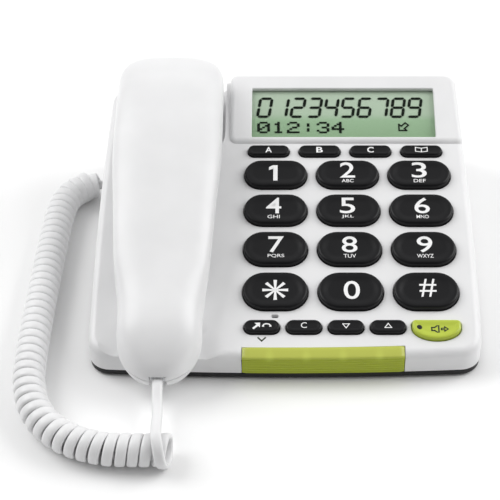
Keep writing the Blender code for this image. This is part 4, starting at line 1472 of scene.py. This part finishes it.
def handset_post(index, up):
    """The steps that make a screw's post in the back, or its seat in the face."""
    x, y, _, _ = node_round(f"handset_screw_{index}")
    if up:
        start = along(PARTING_Z, y) - 6.0
        post = rod(x, y, POST_RADIUS, start, along(BACK_Z, y) - 1.2, 20)
        hole = rod(x, y, SCREW_HOLE_RADIUS, start - 5, start + 9, 16)
        return [("UNION", loft(f"handset_post_{index}", post)), cut(f"handset_hole_{index}", hole)]
    face = face_z(y)
    seats = ((1.6, face + 8), (3.0, face + 1.3))
    return [cut(f"seat_{index}", rod(x, y, radius, face - 5, top, 24)) for radius, top in seats]


def add_handset():
    for up, node in ((True, "handset_upper_shell"), (False, "handset_lower_shell")):
        name = "handset_back" if up else "handset_face"
        half = half_form(name, up)
        steps = [("DIFFERENCE", inner_form(f"{name}_hollow", up)), plug_notch()]
        for i in (1, 2):
            steps += handset_post(i, up)
        if not up:
            steps.append(("DIFFERENCE", grille_holes("ear_holes", 75.0, EAR_CUP_H, EAR_HOLES)))
            steps.append(("DIFFERENCE", grille_holes("mouth_holes", -77.5, MOUTH_CUP_H, MOUTH_HOLES)))
        shaped(half, steps, HANDSET_SMOOTH_ANGLE)
        even_normals(half)
        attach(half, "handset")
        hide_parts(node)


# ---------------------------------------------------------------- cord

# The middle of the curly part, from the base's left side round to the front of the handset
COIL_ROUTE = (
    (-103.2, 62.0, 9.2),
    (-112.0, 58.5, 8.4),
    (-120.5, 50.0, 8.4),
    (-123.8, 38.0, 8.4),
    (-125.2, 20.0, 8.4),
    (-127.0, -28.0, 8.4),
    (-127.8, -70.0, 8.4),
    (-126.4, -96.0, 8.4),
    (-119.5, -115.5, 8.4),
    (-106.0, -129.0, 8.4),
    (-88.0, -136.0, 8.4),
    (-70.0, -137.2, 8.4),
    (-53.0, -137.0, 8.4),
)
WIRE_WIDTH = 5.3
WIRE_THICK = 2.9
HELIX_RADIUS = 6.75
TURN_POINTS = 26
FIRST_PITCHES = ((0.5, -8.5), (0.75, -2.0), (1.6, 8.0))  # (until this turn, pitch)


def catmull(knots, steps=24):
    """Points on a smooth curve through the knots."""
    points = [Vector(knot) for knot in knots]
    points = [2 * points[0] - points[1]] + points + [2 * points[-1] - points[-2]]
    found = []
    for a, b, c, d in zip(points, points[1:], points[2:], points[3:]):
        for step in range(steps):
            t = step / steps
            cubic = (3 * b - a - 3 * c + d) * t**3
            found.append(0.5 * (2 * b + (c - a) * t + (2 * a - 5 * b + 4 * c - d) * t**2 + cubic))
    return found + [points[-2]]


def lengths_along(points):
    line = np.array([tuple(point) for point in points])
    steps = np.linalg.norm(np.diff(line, axis=0), axis=1)
    return line, np.concatenate([[0.0], np.cumsum(steps)])


def place_on(line, lengths, distance):
    return Vector([float(np.interp(distance, lengths, line[:, k])) for k in range(3)])


def smoothstep(t):
    t = min(1.0, max(0.0, t))
    return t * t * (3 - 2 * t)


def coil_pitch(turn, t):
    """How far a turn goes on along the route, after so many turns and this share of the route."""
    for end, pitch in FIRST_PITCHES:
        if turn < end:
            return pitch
    return 5.75 - 0.45 * smoothstep((t - 0.28) / 0.25)


def helix_points():
    """The curly part from its end at the front of the handset to its end at the base.

    At the front the wire lies over the coil, so its first turn starts wide and closes in. It leans to
    the right, which opens the coil's end, and the turns then run back under it.
    """
    line, lengths = lengths_along(reversed(catmull(COIL_ROUTE)))
    total = float(lengths[-1])
    points, axes = [], []
    travelled = 8.0
    turn = 0.0
    while travelled < total - 1.0:
        first = max(0.0, 1.0 - turn / 0.55)
        last = smoothstep((total - travelled - 1.0) / 7.0)
        radius = (HELIX_RADIUS + 3.9 * first**1.3) * (0.35 + 0.65 * last)
        centre = place_on(line, lengths, travelled)
        axis = place_on(line, lengths, travelled + 2.0) - place_on(line, lengths, travelled - 2.0)
        axis.normalize()
        side = axis.cross(Vector((0, 0, 1))).normalized()
        up = side.cross(axis)
        angle = 2 * math.pi * turn
        points.append(centre + radius * (math.cos(angle) * up - math.sin(angle) * side))
        axes.append(axis)
        pitch = coil_pitch(turn, travelled / total)
        turn += 1 / TURN_POINTS
        travelled += pitch / TURN_POINTS
    return points, axes


def cord_path():
    """(centres, width directions) of the whole cord, from the handset plug to the base plug."""
    plug_low, plug_high = node_box("handset_plug")
    plug = (plug_low + plug_high) / 2
    helix, axes = helix_points()
    start = Vector((plug.x, plug_low.y - GAP, plug.z))
    top = helix[0]
    knots = [
        start,
        start + Vector((0, -5.0, -0.3)),
        start + Vector((0.3, -13.0, -2.2)),
        start + Vector((1.0, -22.0, -1.4)),
        Vector((top.x - 0.2, top.y + 7.0, top.z - 1.0)),
        top,
    ]
    strand = catmull(knots, 8)[:-1]
    plug_low, plug_high = node_box("base_plug")
    base_plug = (plug_low + plug_high) / 2
    end = Vector((plug_low.x - GAP, base_plug.y, base_plug.z))
    tail = catmull([helix[-1], (helix[-1] + end) / 2, end], 5)[1:]
    widths = [Vector((-1, 0, 0))] * len(strand) + axes
    widths += [axes[-1].lerp(Vector((0, 1, 0)), (i + 1) / len(tail)) for i in range(len(tail))]
    return strand + helix + tail, widths


def flat_section():
    """The wire's cross-section: a rectangle with well rounded edges, as (across, through)."""
    ring = []
    for i in range(14):
        angle = 2 * math.pi * (i + 0.5) / 14
        c, s = math.cos(angle), math.sin(angle)
        across = WIRE_WIDTH / 2 * math.copysign(abs(c) ** (2 / 3.2), c)
        through = WIRE_THICK / 2 * math.copysign(abs(s) ** (2 / 2.6), s)
        ring.append((across, through))
    return ring


def add_cord(plugs):
    """One piece from plug to plug, along the drawn path."""
    centres, widths = cord_path()
    section = flat_section()
    rings = []
    for i, centre in enumerate(centres):
        before = centres[max(0, i - 1)]
        after = centres[min(len(centres) - 1, i + 1)]
        tangent = (after - before).normalized()
        width = (widths[i] - widths[i].dot(tangent) * tangent).normalized()
        through = tangent.cross(width)
        rings.append([centre + a * width + b * through for a, b in section])
    cord = loft("curly_cord", rings, CORD_PLASTIC, smooth_angle=60.0)
    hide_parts("cord_strand", "cord_coil", "cord_tail")
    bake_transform(cord)
    _, lengths = lengths_along(centres)


def add_plug(node, body, turn):
    """A clear modular plug: stepped body and four gold contacts.

    It is built with its cable end at the origin, pointing up +Y.
    """
    low, high = node_box(node)
    middle = (low + high) / 2
    if body == "handset":
        width, length, height = high.x - low.x, high.y - low.y, high.z - low.z
        cable_end = Vector((middle.x, low.y, middle.z))
    else:
        width, length, height = high.y - low.y, high.x - low.x, high.z - low.z
        cable_end = Vector((low.x, middle.y, middle.z))
    place = Matrix.Translation(cable_end) @ Matrix.Rotation(turn, 4, "Z")
    upright = place @ Matrix.Rotation(math.radians(-90), 4, "X")
    outline = rounded_box(-width / 2, width / 2, -height / 2, height / 2, 0.5, steps=3)
    levels = ((-0.7, 0.0), (-0.5, 0.3), (-0.5, 3.0), (0.0, 3.6), (0.0, length - 0.3), (-0.3, length))
    plug = loft(f"{node}_body", at_heights(outline, levels), PLUG, body, upright)
    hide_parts(node)
    contacts = []
    for i in range(4):
        x = (i - 1.5) * 1.1
        top = height / 2
        left, right, near, far = x - 0.2, x + 0.2, length - 4.0, length - 0.6
        blade = [(left, near), (right, near), (right, far), (left, far)]
        contacts.append(loft_mesh([[(a, b, z) for a, b in blade] for z in (top - 0.6, top + 0.05)]))
    blades = add_mesh(f"{node}_contacts", *merged(contacts), GOLD, body, 30.0, place)
    return [plug, blades]


# ---------------------------------------------------------------- what stays from the CAD


def dress_nodes():
    """Every CAD node that stays as it is gets its own finished material."""
    finishes = {
        "base_screw": STEEL,
        "handset_screw": STEEL,
        "base_microphone": STEEL,
        "handset_microphone": STEEL,
        "handset_weight": STEEL,
        "circuit_board": BOARD,
        "ring_light_board": BOARD,
        "keypad_mat": MAT,
        "hook_plunger": WHITE,
        "hook_switch": DARK,
        "base_loudspeaker": DARK,
        "earpiece_speaker": DARK,
        "handset_jack": DARK,
        "line_jack": DARK,
    }
    for name, node in frame["nodes"].items():
        for start, material in finishes.items():
            if name.startswith(start):
                node.data.materials.clear()
                node.data.materials.append(material)


WHITE = moulded("white_casing_plastic", (0.78, 0.78, 0.785), 0.36)
DARK = moulded("dark_casing_plastic", (0.014, 0.014, 0.015), 0.5, specular=0.3)
BLACK = moulded("black_key_plastic", (0.006, 0.006, 0.007), 0.34, (7000.0, 0.00002), specular=0.22)
LIME = moulded("lime_key_plastic", (0.45, 0.54, 0.05), 0.32)
CORD_PLASTIC = moulded("cord_plastic", (0.78, 0.78, 0.785), 0.36)
WHITE_PRINT = moulded("white_print", (0.86, 0.86, 0.86), 0.5)
DARK_PRINT = moulded("dark_print", (0.025, 0.035, 0.012), 0.5)
LCD_INK = moulded("lcd_ink", (0.003, 0.007, 0.003), 0.6, specular=0.1)
RUBBER = moulded("foot_rubber", (0.05, 0.05, 0.05), 0.8, (5000.0, 0.00005))
MAT = moulded("grey_silicone", (0.35, 0.35, 0.36), 0.7)
BOARD = moulded("green_board", (0.02, 0.14, 0.05), 0.4, (2500.0, 0.00004), 0.06, 0.2)
STEEL = metal("zinc_steel", (0.6, 0.6, 0.61), 0.3)
GOLD = metal("gold_contact", (0.85, 0.62, 0.25), 0.25)
PLUG = clear_plastic("clear_plug", (0.78, 0.82, 0.85), 0.45)
GLASS = clear_plastic("clear_glass", (0.03, 0.04, 0.03), 0.04)
SCREEN = screen_material()
STRIP = strip_material()

KEYS = key_places()

add_camera()
add_floor()
add_world()
add_lights()
add_cord(add_plug("handset_plug", "handset", 0.0) + add_plug("base_plug", "base", math.radians(-90)))
add_casing()
add_tray()
add_feet()
add_light_strip()
add_keys()
add_deck_print()
add_panel()
add_display_marks()
add_window()
add_handset()
dress_nodes()
